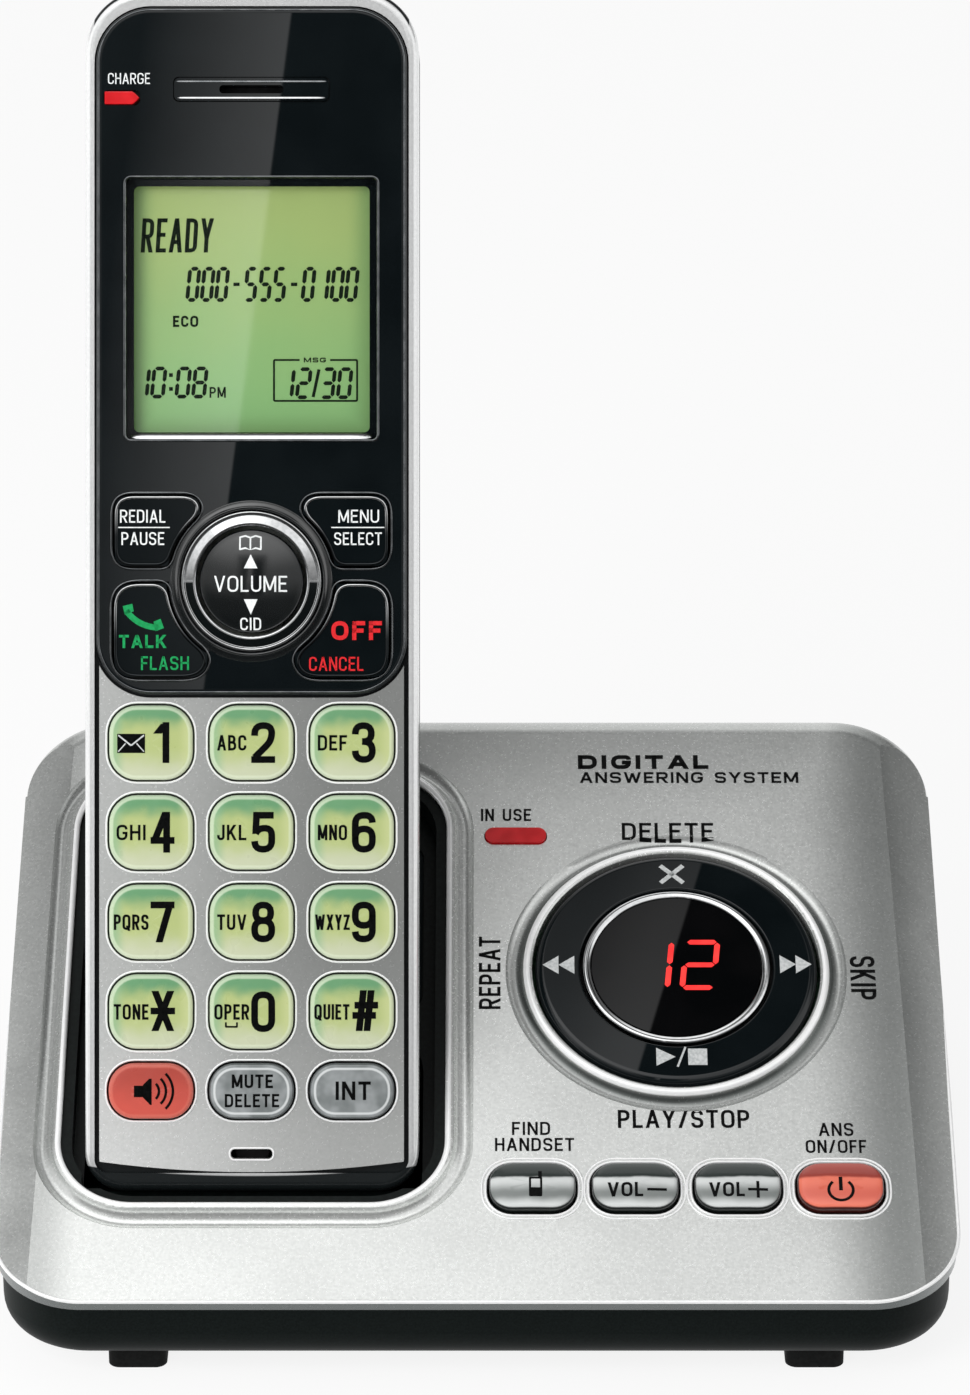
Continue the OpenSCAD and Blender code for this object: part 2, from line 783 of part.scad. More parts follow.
module line_jack() {
  socket_w = 9.9;
  socket_h = 6.9;
  socket_d = 10;
  notch_w = 4;
  notch_h = 2;
  socket_h0 = 3.6;
  color(charcoal) translate([line_jack_x, under_back_y, jack_h0]) difference() {
    translate([-line_jack_w / 2, -line_jack_d, 0]) cube([line_jack_w, line_jack_d, line_jack_h]);
    translate([-socket_w / 2, -socket_d, socket_h0]) cube([socket_w, socket_d + over, socket_h]);
    translate([-notch_w / 2, -socket_d, socket_h0 - notch_h])
      cube([notch_w, socket_d + over, notch_h + over]);
  }
}

module power_jack() {
  bore_d = 9.5;
  pin_len = 8;
  color(charcoal) translate([power_jack_x, under_back_y, jack_h0]) {
    difference() {
      translate([-power_jack_w / 2, -power_jack_d, 0]) cube([power_jack_w, power_jack_d, power_jack_h]);
      translate([0, over, power_jack_h / 2]) rotate([90, 0, 0]) cylinder(r = power_bore_r, h = bore_d + over);
    }
    translate([0, pin_len - bore_d, power_jack_h / 2]) rotate([90, 0, 0])
      cylinder(r = power_pin_r, h = pin_len + over);
  }
}

// Room for the handset's foot, grown by a gap and run out upwards
module foot_room(gap, low) {
  translate([0, -gap, low]) linear_extrude(far / 2)
    end_rounded(handset_w + 2 * gap, foot_t + 2 * gap, over, pocket_r + gap);
}

module cradle_insert() {
  color(gloss_black) difference() {
    union() {
      on_face() at_recess() {
        under_face(insert_rim_drop, tub_low)
          rounded_rect(recess_w - 2 * fit, recess_len - 2 * fit, recess_r - fit);
        under_face(base_wall, base_wall + insert_flange_t)
          rounded_rect(recess_w + 2 * insert_flange_w, recess_len + 2 * insert_flange_w,
            recess_r + insert_flange_w);
      }
      intersection() {
        on_handset() foot_room(pocket_gap + insert_wall, -run - insert_wall);
        on_face() translate([-far, 0, -far - shelf_depth]) cube([2 * far, far, far]);
      }
    }
    on_face() {
      at_recess() under_face(-over, shelf_depth)
        rounded_rect(recess_w - 2 * fit - 2 * insert_wall, recess_len - 2 * fit - 2 * insert_wall,
          recess_r - fit - insert_wall);
      at_grille() {
        under_face(shelf_depth - over, shelf_depth + grille_t)
          rounded_rect(grille_w + 2 * fit, grille_l + 2 * fit, grille_corner_r);
        under_face(shelf_depth, tub_low + over)
          rounded_rect(grille_w - 2 * grille_ledge, grille_l - 2 * grille_ledge, grille_corner_r);
      }
    }
    on_handset() {
      foot_room(pocket_gap, -run);
      at_contacts() translate([0, 0, -run - insert_wall - over])
        linear_extrude(insert_wall + 2 * over)
          square([contact_tip_w + 2 * fit, contact_tip_l + 2 * fit], center = true);
    }
  }
}

module speaker_grille() {
  color(gloss_black) on_face() at_grille() difference() {
    under_face(shelf_depth, shelf_depth + grille_t) rounded_rect(grille_w, grille_l, grille_corner_r);
    for (i = [0:grille_columns - 1], j = [0:grille_rows - 1])
      translate([grille_place(i, grille_columns, grille_pitch_x),
        grille_place(j, grille_rows, grille_pitch_u), -shelf_depth])
        cylinder(d = grille_hole_d, h = 4 * grille_t, center = true, $fn = 16);
  }
}

module at_contacts() {
  for (side = [-1, 1]) translate([side * contact_x, contact_t, 0]) children();
}

module cradle_contacts() {
  shoulder = 1.4;
  shoulder_h = 2.4;
  tip_top = contact_sink - contact_tip_gap;
  color(metal) on_handset() at_contacts() {
    translate([-contact_tip_w / 2, 0, tip_top - contact_tip_l / 2]) rotate([0, 90, 0])
      cylinder(d = contact_tip_l, h = contact_tip_w);
    translate([-contact_tip_w / 2, -contact_tip_l / 2, tip_top - contact_tip_l / 2 - contact_tip_len])
      cube([contact_tip_w, contact_tip_l, contact_tip_len]);
    translate([-contact_tip_w / 2 - shoulder, -contact_tip_l / 2, -run - insert_wall - shoulder_h])
      cube([contact_tip_w + 2 * shoulder, contact_tip_l, shoulder_h]);
  }
}

module counter_window() {
  color(gloss_black) on_face() at_dial() {
    translate([0, 0, dial_rise - window_t]) cylinder(r = window_r, h = window_t);
    translate([0, 0, -base_board_top])
      ring(window_r, window_r - window_wall, base_board_top + dial_rise - window_t / 2);
    translate([0, 0, -dial_low - trim_flange_t]) ring(trim_r, window_r - window_wall, trim_flange_t);
  }
}

module counter_trim_ring() {
  trim_rise = 0.2;
  trim_h = dial_t + trim_rise;
  edge_r = 0.35;
  color(silver) on_face() at_dial() translate([0, 0, -dial_low]) rotate_extrude() {
    translate([window_r + fit, 0]) square([trim_w, trim_h - edge_r]);
    translate([window_r + fit + edge_r, 0]) square([trim_w - 2 * edge_r, trim_h]);
    for (x = [edge_r, trim_w - edge_r]) translate([window_r + fit + x, trim_h - edge_r]) circle(edge_r);
  }
}

module counter_display() {
  color(charcoal) on_face() at_dial() under_face(window_t - dial_rise + run, base_board_top)
    square([counter_w, counter_l], center = true);
}

module in_use_lens() {
  color(lens_red) on_face() at_in_use() under_face(-in_use_rise, base_board_top - run) in_use_outline(0);
}

module base_circuit_board() {
  color(board_green) on_face() under_face(base_board_top, base_board_top + board_t)
    translate([board_left, board_front_u]) square([board_right - board_left, board_back_u - board_front_u]);
}

module base_key_mat() {
  strip_w = 3 * base_key_pitch + base_key_w;
  strip_l = base_key_l + 2;
  dome_r = 2.2;
  bridge_w = 12;
  color(silicone_grey) on_face() {
    difference() {
      under_face(base_mat_top, base_board_top) {
        translate([base_key_x(1.5), base_key_u]) square([strip_w, strip_l], center = true);
        translate([dial_x - bridge_w / 2, base_key_u]) square([bridge_w, dial_u - base_key_u - window_r]);
        translate([dial_x, dial_u]) circle(carrier_r);
      }
      at_dial() translate([0, 0, -base_board_top - over]) cylinder(r = carrier_in_r, h = base_board_top);
    }
    for (i = [0:3]) at_base_key(i) translate([0, 0, -base_board_top + mat_t / 2])
      cylinder(r = dome_r, h = dome_h + mat_t / 2);
    at_dial() for (turn = [0:90:270]) rotate([0, 0, turn])
      translate([lug_at, 0, -base_board_top + mat_t / 2]) cylinder(r = dome_r, h = dome_h + mat_t / 2);
  }
}

module base_speaker() {
  rim_r = 15;
  rim_t = 1.6;
  cone_r = 8;
  cone_h = 5;
  magnet_h = 4;
  color(charcoal) on_face() at_grille() translate([0, 0, -tub_low]) rotate([180, 0, 0]) {
    cylinder(r = rim_r, h = rim_t);
    translate([0, 0, rim_t]) cylinder(r1 = rim_r - 1, r2 = cone_r, h = cone_h);
    translate([0, 0, rim_t + cone_h]) cylinder(r = cone_r, h = magnet_h);
  }
}

module dial_carrier() {
  color(charcoal) on_face() at_dial() {
    translate([0, 0, -carrier_low]) ring(carrier_r, carrier_in_r, carrier_t);
    for (side = [-1, 1]) translate([-lug_w / 2, side * lug_at - lug_l / 2, -carrier_low + carrier_t / 2])
      cube([lug_w, lug_l, carrier_low - dial_low - run - carrier_t / 2]);
  }
}

module dial_ring() {
  edge_r = 1.2;
  color(gloss_black) on_face() at_dial() translate([0, 0, dial_rise]) rotate_extrude() difference() {
    rolled_section(dial_r, dial_t, edge_r);
    translate([0, -dial_t - over]) square([dial_in_r, dial_t + 2 * over]);
  }
}

// Key cap with a domed top and a flange that keeps it behind its opening
module base_key(i) {
  dome_r = 30;
  color(i == 3 ? key_red : clear_grey) on_face() at_base_key(i) {
    intersection() {
      under_face(-base_key_rise, base_flange_top + base_flange_t / 2) base_key_outline(0);
      translate([0, 0, base_key_rise - dome_r]) sphere(dome_r, $fn = 180);
    }
    under_face(base_flange_top, base_flange_top + base_flange_t) base_key_outline(key_gap + flange_w);
  }
}

module number_key_outline(grow) {
  rounded_rect(key_w + 2 * grow, key_l + 2 * grow, key_r + grow);
}

module low_key_outline(grow) {
  rounded_rect(low_key_w + 2 * grow, low_key_l + 2 * grow, low_key_r + grow);
}

// Flange of a key, wider at its sides than at its ends
module key_flange(w, l, r) {
  rounded_rect(w + 2 * key_gap + 2 * flange_w, l + 2 * key_gap + 2 * flange_end_w, r + key_gap);
}

// Function key beside the rocker, drawn about the rocker's centre
module soft_key_outline(i, grow) {
  pair = floor(i / 2);
  difference() {
    translate([soft_side(i) * soft_x[pair], soft_y[pair]])
      rounded_rect(soft_w[pair] + 2 * grow, soft_l[pair] + 2 * grow, soft_r[pair] + grow);
    circle(soft_ring_r - grow);
  }
}

module at_number_key(i) {
  translate([column_x(i), row_w(i)]) children();
}

module at_low_key(i) {
  translate([column_x(i), low_key_at]) children();
}

module at_nav() {
  translate([0, nav_at]) children();
}

module plate_key_outlines(grow) {
  for (i = [0:11]) at_number_key(i) number_key_outline(grow);
  for (i = [0:2]) at_low_key(i) low_key_outline(grow);
}

module soft_key_outlines(grow) {
  for (i = [0:3]) at_nav() soft_key_outline(i, grow);
}

module mask_outline(grow) {
  translate([0, mask_bottom - grow])
    end_rounded(mask_w + 2 * grow, mask_len + 2 * grow, mask_r + grow, mask_r + grow);
}

module display_outline(grow) {
  translate([0, display_at]) rounded_rect(display_w + 2 * grow, display_l + 2 * grow, mask_opening_r);
}

module ear_outline(grow) {
  translate([0, ear_at]) rounded_rect(ear_w + 2 * grow, ear_l + 2 * grow, mask_opening_r);
}

module ear_slot() {
  translate([0, ear_at]) rounded_rect(ear_slot_w, ear_slot_l, slot_round * ear_slot_l);
}

module charge_outline(grow) {
  translate([charge_x, charge_at])
    rounded_rect(charge_w + 2 * grow, charge_l + 2 * grow, charge_round * charge_l);
}

module mic_slot() {
  translate([0, mic_at - mic_slot_drop]) rounded_rect(mic_slot_w, mic_slot_l, slot_round * mic_slot_l);
}

module at_board_rests() {
  for (side = [-1, 1]) {
    translate([side * post_low_x, post_low_w]) children();
    translate([side * post_high_x, post_high_w]) children();
  }
}

module at_handset_screws() {
  for (side = [-1, 1]) translate([side * handset_screw_x, handset_screw_at]) children();
}

module handset_inside(t0, t1) {
  between(t0, t1) translate([0, handset_wall])
    end_rounded(handset_w - 2 * handset_wall, handset_len - 2 * handset_wall,
      chin_r - handset_wall, head_r - handset_wall);
}

module handset_front_shell() {
  color(silver) on_handset() difference() {
    union() {
      difference() {
        rotate([90, 0, 0]) rolled_slab(handset_w, handset_len, parting_t, chin_r, head_r, rail_r);
        handset_inside(front_floor, parting_t + over);
      }
      between(front_floor - over, board_top) at_board_rests() circle(handset_post_r);
      between(front_floor - over, parting_t) at_handset_screws() circle(boss_r);
      between(front_floor - over, front_floor + ear_speaker_t) translate([0, ear_at]) difference() {
        circle(ear_speaker_r + fit + tray_wall);
        circle(ear_speaker_r + fit);
      }
    }
    between(-over, panel_t) {
      mask_outline(fit);
      translate([0, plate_bottom - fit]) end_rounded(mask_w + 2 * fit, mask_bottom + mask_r, 2, 2);
    }
    between(-over, front_floor + over / 2) {
      plate_key_outlines(key_gap);
      soft_key_outlines(key_gap);
      at_nav() circle(d = nav_d + 3 * nav_gap);
      display_outline(fit);
      ear_slot();
      mic_slot();
      translate([charge_x, charge_at]) circle(charge_pipe_r + fit);
    }
    between(front_floor + over, parting_t + over) at_handset_screws() circle(screw_r + screw_bore_gap);
  }
}

// Outer form of the back: the foot's depth all along, and a raised part from the foot to the head
module handset_back_form() {
  translate([0, foot_t, 0]) mirror([0, 1, 0]) rotate([90, 0, 0])
    rolled_slab(handset_w, handset_len, foot_t - parting_t, chin_r, head_r, foot_edge_r);
  raised_back();
}

module raised_back() {
  translate([0, handset_t, foot_len]) mirror([0, 1, 0]) rotate([90, 0, 0])
    rolled_slab(handset_w - 2 * raised_inset, handset_len - foot_len - raised_inset, handset_t - parting_t,
      back_edge_r + 0.5, back_edge_r + 0.5, back_edge_r);
}

module battery_tray(grow, t0, t1) {
  between(t0, t1) translate([0, battery_at + tray_l / 2])
    square([tray_w + 2 * grow, tray_l + 2 * grow], center = true);
}

module door_outline(grow) {
  translate([-door_w / 2 - grow, 0]) square([door_w + 2 * grow, door_top + grow]);
}

// Tongue at the upper end of the door, grown by a gap for its pocket in the shell
module door_tongue(grow) {
  between(foot_t + run - grow, foot_t + run + tongue_t + grow)
    translate([-tongue_w / 2 - grow, door_top - over]) square([tongue_w + 2 * grow, over + tongue_l + grow]);
}

// Hollow of the raised part above the door
module head_hollow(t0, t1) {
  head_low = door_top + tongue_l + 2 * tray_wall;
  head_w = handset_w - 2 * raised_inset - 2 * head_inset;
  between(t0, t1) translate([0, head_low])
    end_rounded(head_w, handset_len - head_inset - head_low, 2, back_edge_r);
}

module ringer_slot_outlines() {
  for (i = [0:ringer_slots - 1])
    translate([0, ringer_at + (i - (ringer_slots - 1) / 2) * ringer_slot_pitch])
      rounded_rect(ringer_slot_w, ringer_slot_l, slot_round * ringer_slot_l);
}

module handset_back_shell() {
  inner_back = foot_t - handset_wall;
  color(charcoal) on_handset() difference() {
    union() {
      difference() {
        handset_back_form();
        translate([0, inner_back, handset_wall]) mirror([0, 1, 0]) rotate([90, 0, 0])
          rolled_slab(handset_w - 2 * handset_wall, handset_len - 2 * handset_wall,
            inner_back - parting_t + over, chin_r - handset_wall, head_r - handset_wall,
            foot_edge_r - handset_wall);
        head_hollow(inner_back - over, head_back);
      }
      battery_tray(tray_wall, tray_floor - tray_wall, inner_back + over / 2);
      between(parting_t, head_back + over / 2) at_handset_screws() circle(boss_r);
      between(head_back - ringer_t, head_back + over / 2) translate([0, ringer_at]) difference() {
        circle(ringer_r + fit + tray_wall);
        circle(ringer_r + fit);
      }
    }
    battery_tray(0, tray_floor, handset_t + over);
    between(foot_t, handset_t + over) door_outline(run);
    door_tongue(run);
    between(head_back - over, handset_t + over) ringer_slot_outlines();
    between(parting_t - over, handset_t + over) at_handset_screws() circle(screw_r + screw_bore_gap);
    between(parting_t + handset_screw_len / 2, handset_t + over)
      at_handset_screws() circle(screw_head_r + fit);
    at_contacts() translate([0, 0, -over]) linear_extrude(handset_wall + 2 * over)
      square([contact_w + 2 * fit, contact_l + 2 * fit], center = true);
  }
}

module front_mask() {
  color(gloss_black) on_handset() difference() {
    translate([0, -mask_rise, mask_bottom]) rotate([90, 0, 0])
      rolled_slab(mask_w, mask_len, panel_t + mask_rise, mask_r, mask_r, mask_bevel);
    between(-mask_rise - over, panel_t + over) {
      soft_key_outlines(key_gap);
      at_nav() circle(d = nav_ring_d + 2 * fit);
      display_outline(0);
      ear_outline(fit);
      charge_outline(fit);
    }
    between(-mask_rise - over, panel_t / 2) display_outline(display_border + fit);
  }
}

module keypad_plate() {
  color(silver) on_handset() between(0, panel_t) difference() {
    intersection() {
      translate([0, plate_bottom]) end_rounded(plate_w, mask_bottom + mask_r - plate_bottom, 2, 1);
      translate([0, plate_bottom + bow_r]) circle(bow_r, $fn = 360);
    }
    mask_outline(2 * fit);
    plate_key_outlines(key_gap);
    mic_slot();
  }
}

module display_lens() {
  color(clear_grey) on_handset() between(-mask_rise / 2, panel_t / 2) display_outline(display_border);
}

module lcd_module() {
  color(key_green) on_handset() between(front_floor, board_top) display_outline(lcd_border);
}

module handset_circuit_board() {
  edge_gap = 1;
  board_low = 2 * handset_wall;
  board_high = display_at + display_l / 2 + lcd_border;
  color(board_green) on_handset() between(board_top, board_top + board_t) translate([0, board_low])
    end_rounded(handset_w - 2 * handset_wall - 2 * edge_gap, board_high - board_low, 3, 1);
}

module keypad_mat() {
  dome_r = 2.4;
  edge_gap = 1.5;
  mat_low = low_key_at - low_key_l / 2 - 1;
  mat_high = nav_at + soft_y[0] + soft_l[0] / 2 + 1;
  color(silicone_grey) on_handset() {
    between(mat_top, board_top) translate([0, mat_low])
      end_rounded(handset_w - 2 * handset_wall - 2 * edge_gap, mat_high - mat_low, 2, 2);
    between(dome_top, board_top - mat_t / 2) {
      for (i = [0:11]) at_number_key(i) circle(dome_r);
      for (i = [0:2]) at_low_key(i) circle(dome_r);
      at_nav() for (i = [0:3]) translate([soft_side(i) * soft_x[0], soft_y[floor(i / 2)]]) circle(dome_r);
    }
  }
}

module nav_ring() {
  ring_rise = 0.9;
  color(silver) on_handset() between(-ring_rise, panel_t) at_nav() difference() {
    circle(d = nav_ring_d);
    circle(d = nav_d + 2 * nav_gap);
  }
}

module nav_rocker() {
  nav_rise = 1.5;
  swing = (nav_d / 2 + nav_flange_w) * sin(nav_tilt);
  color(gloss_black) on_handset() {
    intersection() {
      between(-nav_rise, front_floor + 2 * swing) at_nav() circle(d = nav_d);
      translate([0, nav_crown_r - nav_rise, nav_at]) sphere(nav_crown_r, $fn = 180);
    }
    between(front_floor + swing + run / 2, front_floor + swing + run / 2 + flange_t)
      at_nav() circle(d = nav_d + 2 * nav_flange_w);
  }
}

module earpiece_grille() {
  ear_rise = 0.2;
  color(gloss_black) on_handset() between(-mask_rise - ear_rise, panel_t) difference() {
    ear_outline(0);
    ear_slot();
  }
}

module earpiece_speaker() {
  color(charcoal) on_handset() between(front_floor, front_floor + ear_speaker_t)
    translate([0, ear_at]) circle(ear_speaker_r);
}

module ringer_speaker() {
  magnet_r = ringer_r * 0.55;
  magnet_t = 2;
  color(charcoal) on_handset() {
    between(head_back - ringer_t, head_back) translate([0, ringer_at]) circle(ringer_r);
    between(head_back - ringer_t - magnet_t, head_back - ringer_t + over)
      translate([0, ringer_at]) circle(magnet_r);
  }
}

module charge_lens() {
  lens_rise = 0.3;
  color(lens_red) on_handset() {
    between(-mask_rise - lens_rise, panel_t) charge_outline(0);
    between(panel_t - over / 2, front_floor + over) translate([charge_x, charge_at]) circle(charge_pipe_r);
  }
}

module microphone() {
  color(metal) on_handset() between(front_floor, front_floor + mic_t) translate([0, mic_at]) circle(mic_r);
}

module battery_pack() {
  wrap_gap = 0.1;
  cap_r = 2.6;
  cap_h = 0.6;
  cells_at = battery_at + (tray_l - cell_len) / 2;
  color(key_green) on_handset() translate([0, tray_floor + fit + cell_r, cells_at]) {
    linear_extrude(cell_len) rounded_rect(4 * cell_r, 2 * cell_r, cell_r - wrap_gap);
    for (side = [-1, 1]) translate([side * cell_r, 0, -cap_h]) cylinder(r = cap_r, h = cell_len + 2 * cap_h);
  }
}

module handset_contacts() {
  plate_border = 1;
  color(metal) on_handset() at_contacts() {
    translate([0, 0, contact_sink]) linear_extrude(handset_wall - contact_sink + contact_plate_t)
      square([contact_w, contact_l], center = true);
    translate([0, 0, handset_wall]) linear_extrude(contact_plate_t)
      square([contact_w + 2 * plate_border, contact_l + 2 * plate_border], center = true);
  }
}

module handset_screws() {
  seat = parting_t + handset_screw_len / 2;
  color(metal) on_handset() {
    between(seat, seat + screw_head_h) at_handset_screws() circle(screw_head_r);
    between(seat - handset_screw_len, seat + over) at_handset_screws() circle(screw_r);
  }
}

// Key of the handset: crowned cap, and a flange behind the front wall
module crowned_key(x, w) {
  intersection() {
    between(-key_rise, flange_top + flange_t / 2) translate([x, w]) children(0);
    translate([x, crown_r - key_rise, w]) sphere(crown_r, $fn = 180);
  }
  between(flange_top, flange_top + flange_t) translate([x, w]) children(1);
}

module number_key(i) {
  color(key_green) on_handset() crowned_key(column_x(i), row_w(i)) {
    number_key_outline(0);
    key_flange(key_w, key_l, key_r);
  }
}

module low_key(i) {
  color(i == 0 ? key_red : key_grey) on_handset() crowned_key(column_x(i), low_key_at) {
    low_key_outline(0);
    key_flange(low_key_w, low_key_l, low_key_r);
  }
}

module soft_key(i) {
  color(gloss_black) on_handset() {
    between(-mask_rise - soft_rise, flange_top + flange_t / 2) at_nav() soft_key_outline(i, 0);
    between(flange_top, flange_top + flange_t) at_nav() soft_key_outline(i, key_gap + flange_w);
  }
}

module battery_door() {
  color(charcoal) on_handset() intersection() {
    raised_back();
    between(foot_t + run, handset_t + over) door_outline(0);
  }
  color(charcoal) on_handset() door_tongue(0);
}

base_top_shell();
base_bottom_shell();
cradle_insert();
speaker_grille();
cradle_contacts();
counter_window();
counter_trim_ring();
counter_display();
in_use_lens();
base_circuit_board();
base_key_mat();
base_speaker();
rubber_feet();
base_screws();
line_jack();
power_jack();
dial_carrier();
dial_ring();
for (i = [0:3]) base_key(i);
handset_front_shell();
handset_back_shell();
front_mask();
keypad_plate();
display_lens();
lcd_module();
handset_circuit_board();
keypad_mat();
nav_ring();
earpiece_grille();
earpiece_speaker();
ringer_speaker();
charge_lens();
microphone();
battery_pack();
handset_contacts();
handset_screws();
for (i = [0:11]) number_key(i);
for (i = [0:2]) low_key(i);
for (i = [0:3]) soft_key(i);
nav_rocker();
battery_door();
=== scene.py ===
import math

import bpy
import numpy as np
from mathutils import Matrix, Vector


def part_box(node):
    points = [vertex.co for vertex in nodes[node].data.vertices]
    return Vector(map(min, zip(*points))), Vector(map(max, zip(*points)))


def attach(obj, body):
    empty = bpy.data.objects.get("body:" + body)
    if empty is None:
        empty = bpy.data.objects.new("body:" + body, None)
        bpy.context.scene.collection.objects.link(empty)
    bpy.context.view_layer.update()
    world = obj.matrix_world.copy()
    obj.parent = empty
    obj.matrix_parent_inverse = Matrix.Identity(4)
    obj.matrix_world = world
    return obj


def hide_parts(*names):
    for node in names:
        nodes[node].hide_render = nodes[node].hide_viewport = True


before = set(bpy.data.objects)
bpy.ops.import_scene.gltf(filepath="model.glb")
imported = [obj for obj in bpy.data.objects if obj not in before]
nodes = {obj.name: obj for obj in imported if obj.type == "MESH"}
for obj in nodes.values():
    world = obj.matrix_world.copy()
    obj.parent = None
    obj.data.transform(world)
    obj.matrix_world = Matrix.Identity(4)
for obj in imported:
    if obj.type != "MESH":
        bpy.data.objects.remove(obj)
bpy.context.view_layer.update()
scene = bpy.context.scene
mm = 0.001
print("frame loaded with", len(nodes), "nodes")

# camera straight in front, looking down by the angle at which the handset leans back
shot = {"target": (1.26, 14.16, 75.99), "elevation": 25.0, "distance": 772.45, "focalPixels": 5198.9,
        "imageHeight": 1395.0, "sensor": 36.0}
rise = math.radians(shot["elevation"])
towardCamera = Vector((0.0, -math.cos(rise), math.sin(rise)))
lens = bpy.data.cameras.new("photoLens")
lens.sensor_width = shot["sensor"]
lens.lens = shot["sensor"] * shot["focalPixels"] / shot["imageHeight"]
lens.clip_start, lens.clip_end = 0.01, 50.0
photoCamera = bpy.data.objects.new("photoCamera", lens)
scene.collection.objects.link(photoCamera)
photoCamera.location = (Vector(shot["target"]) + towardCamera * shot["distance"]) * mm
photoCamera.rotation_mode = "QUATERNION"
photoCamera.rotation_quaternion = (-towardCamera).to_track_quat("-Z", "Y")
scene.camera = photoCamera
scene.view_settings.view_transform = "Standard"
print("camera placed")

# working planes in mm: the sloped face (x, u up it, height), the handset's front (x, w along it, height)
base = {"slope": 26.0, "frontHeight": 14.6, "width": 138.0, "faceLength": 107.2, "corner": 13.0}
handset = {"lean": 25.0, "across": -32.3, "up": 19.3, "sunk": 1.0}


def slopeAxes(angle):
    turn = math.radians(angle)
    return np.array([0, math.cos(turn), math.sin(turn)]), np.array([0, -math.sin(turn), math.cos(turn)])


across = np.array([1.0, 0.0, 0.0])
faceUp, faceOut = slopeAxes(base["slope"])
handsetUp, handsetOut = slopeAxes(90 - handset["lean"])
faceStart = np.array([0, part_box("base_top_shell")[0].y / mm, base["frontHeight"]])
handsetStart = faceStart + handset["across"] * across + handset["up"] * faceUp - handset["sunk"] * faceOut


def onFace(p):
    return (faceStart + p[:, :1] * across + p[:, 1:2] * faceUp + p[:, 2:3] * faceOut) * mm


def onHandset(p):
    return (handsetStart + p[:, :1] * across + p[:, 1:2] * handsetUp + p[:, 2:3] * handsetOut) * mm


# shader values as Python expressions: each operator adds one Math node
class Wire:
    def __init__(self, tree, socket=None):
        self.tree, self.socket = tree, socket

    def node(self, kind, settings=None, inputs=None, out=0):
        made = self.tree.nodes.new("ShaderNode" + kind)
        for name, value in (settings or {}).items():
            setattr(made, name, value)
        for key, value in (inputs or {}).items():
            if isinstance(value, Wire):
                self.tree.links.new(value.socket, made.inputs[key])
            else:
                made.inputs[key].default_value = value
        return Wire(self.tree, made.outputs[out])

    def math(self, operation, first, second=0.0):
        return self.node("Math", {"operation": operation}, {0: first, 1: second})

    def __add__(self, other):
        return self.math("ADD", self, other)

    def __radd__(self, other):
        return self.math("ADD", other, self)

    def __sub__(self, other):
        return self.math("SUBTRACT", self, other)

    def __rsub__(self, other):
        return self.math("SUBTRACT", other, self)

    def __mul__(self, other):
        return self.math("MULTIPLY", self, other)

    def __rmul__(self, other):
        return self.math("MULTIPLY", other, self)

    def __truediv__(self, other):
        return self.math("DIVIDE", self, other)

    def __rtruediv__(self, other):
        return self.math("DIVIDE", other, self)

    def __abs__(self):
        return self.math("ABSOLUTE", self)

    def most(self, other):
        return self.math("MAXIMUM", self, other)

    def least(self, other):
        return self.math("MINIMUM", self, other)

    def hypot(self, other):
        return self.math("SQRT", self * self + other * other)

    def spot(self, kind="Object"):
        return self.node("TexCoord", None, None, kind)

    def ray(self, kind):
        return self.node("LightPath", None, None, "Is " + kind + " Ray")

    # 0 below the first value, 1 above the second, eased between them
    def step(self, low, high):
        return self.node("MapRange", {"interpolation_type": "SMOOTHSTEP"},
                         {"Value": self, "From Min": low, "From Max": high})

    # how far the place lies along a direction from a start, in mm
    def along(self, direction, start):
        reach = self.node("VectorMath", {"operation": "DOT_PRODUCT"}, {0: self, 1: tuple(direction)}, 1)
        return reach / mm - float(np.dot(start, direction))

    def blend(self, first, second):
        return self.node("Mix", {"data_type": "RGBA"}, {0: self, 6: first, 7: second}, 2)

    def noise(self, scale, detail=2.0):
        return self.node("TexNoise", None, {"Vector": self, "Scale": scale, "Detail": detail})

    def bump(self, strength, distance):
        return self.node("Bump", None, {"Height": self, "Strength": strength, "Distance": distance})

    def part(self, index):
        return self.node("SeparateXYZ", None, {0: self}, index)


# a picture's colour, 0 to 255, as the light it stands for
def tint(red, green, blue):
    shade = np.array([red, green, blue]) / 255
    light = np.where(shade <= 0.04045, shade / 12.92, ((shade + 0.055) / 1.055) ** 2.4)
    return (*light.tolist(), 1.0)


def makeFinish(name, plain, look):
    finish = bpy.data.materials.new(name)
    finish.use_nodes = True
    tree = finish.node_tree
    shader = tree.nodes["Principled BSDF"]
    for socket, value in plain.items():
        shader.inputs[socket].default_value = value
    start = Wire(tree)
    for socket, wire in look(start, start.spot()).items():
        tree.links.new(wire.socket, shader.inputs[socket])
    return finish


# places in mm across and along the handset's front
def handsetSpot(spot):
    return spot.along(across, handsetStart), spot.along(handsetUp, handsetStart)


# the band of values over which noise turns from one colour to the other
noiseBand = (0.3, 0.7)
grainRise = 0.0002


# two colours mixed by a grain, which also roughens the surface and may raise it
def speckled(dark, light, scale, rough, spread=0.1, relief=0.0):
    def look(start, spot):
        grain = spot.noise(scale)
        colour = grain.step(*noiseBand).blend(tint(*dark), tint(*light))
        made = {"Base Color": colour, "Roughness": grain * spread + rough}
        if relief:
            made["Normal"] = grain.bump(relief, grainRise)
        return made
    return look


# sprayed silver: fine flakes in the colour and the gloss, over a slow cloud
silver = {"flake": 2400.0, "cloud": 60.0, "dark": tint(214, 216, 214), "light": tint(236, 238, 236),
          "rough": 0.22, "roughSpread": 0.08, "metal": 0.7}
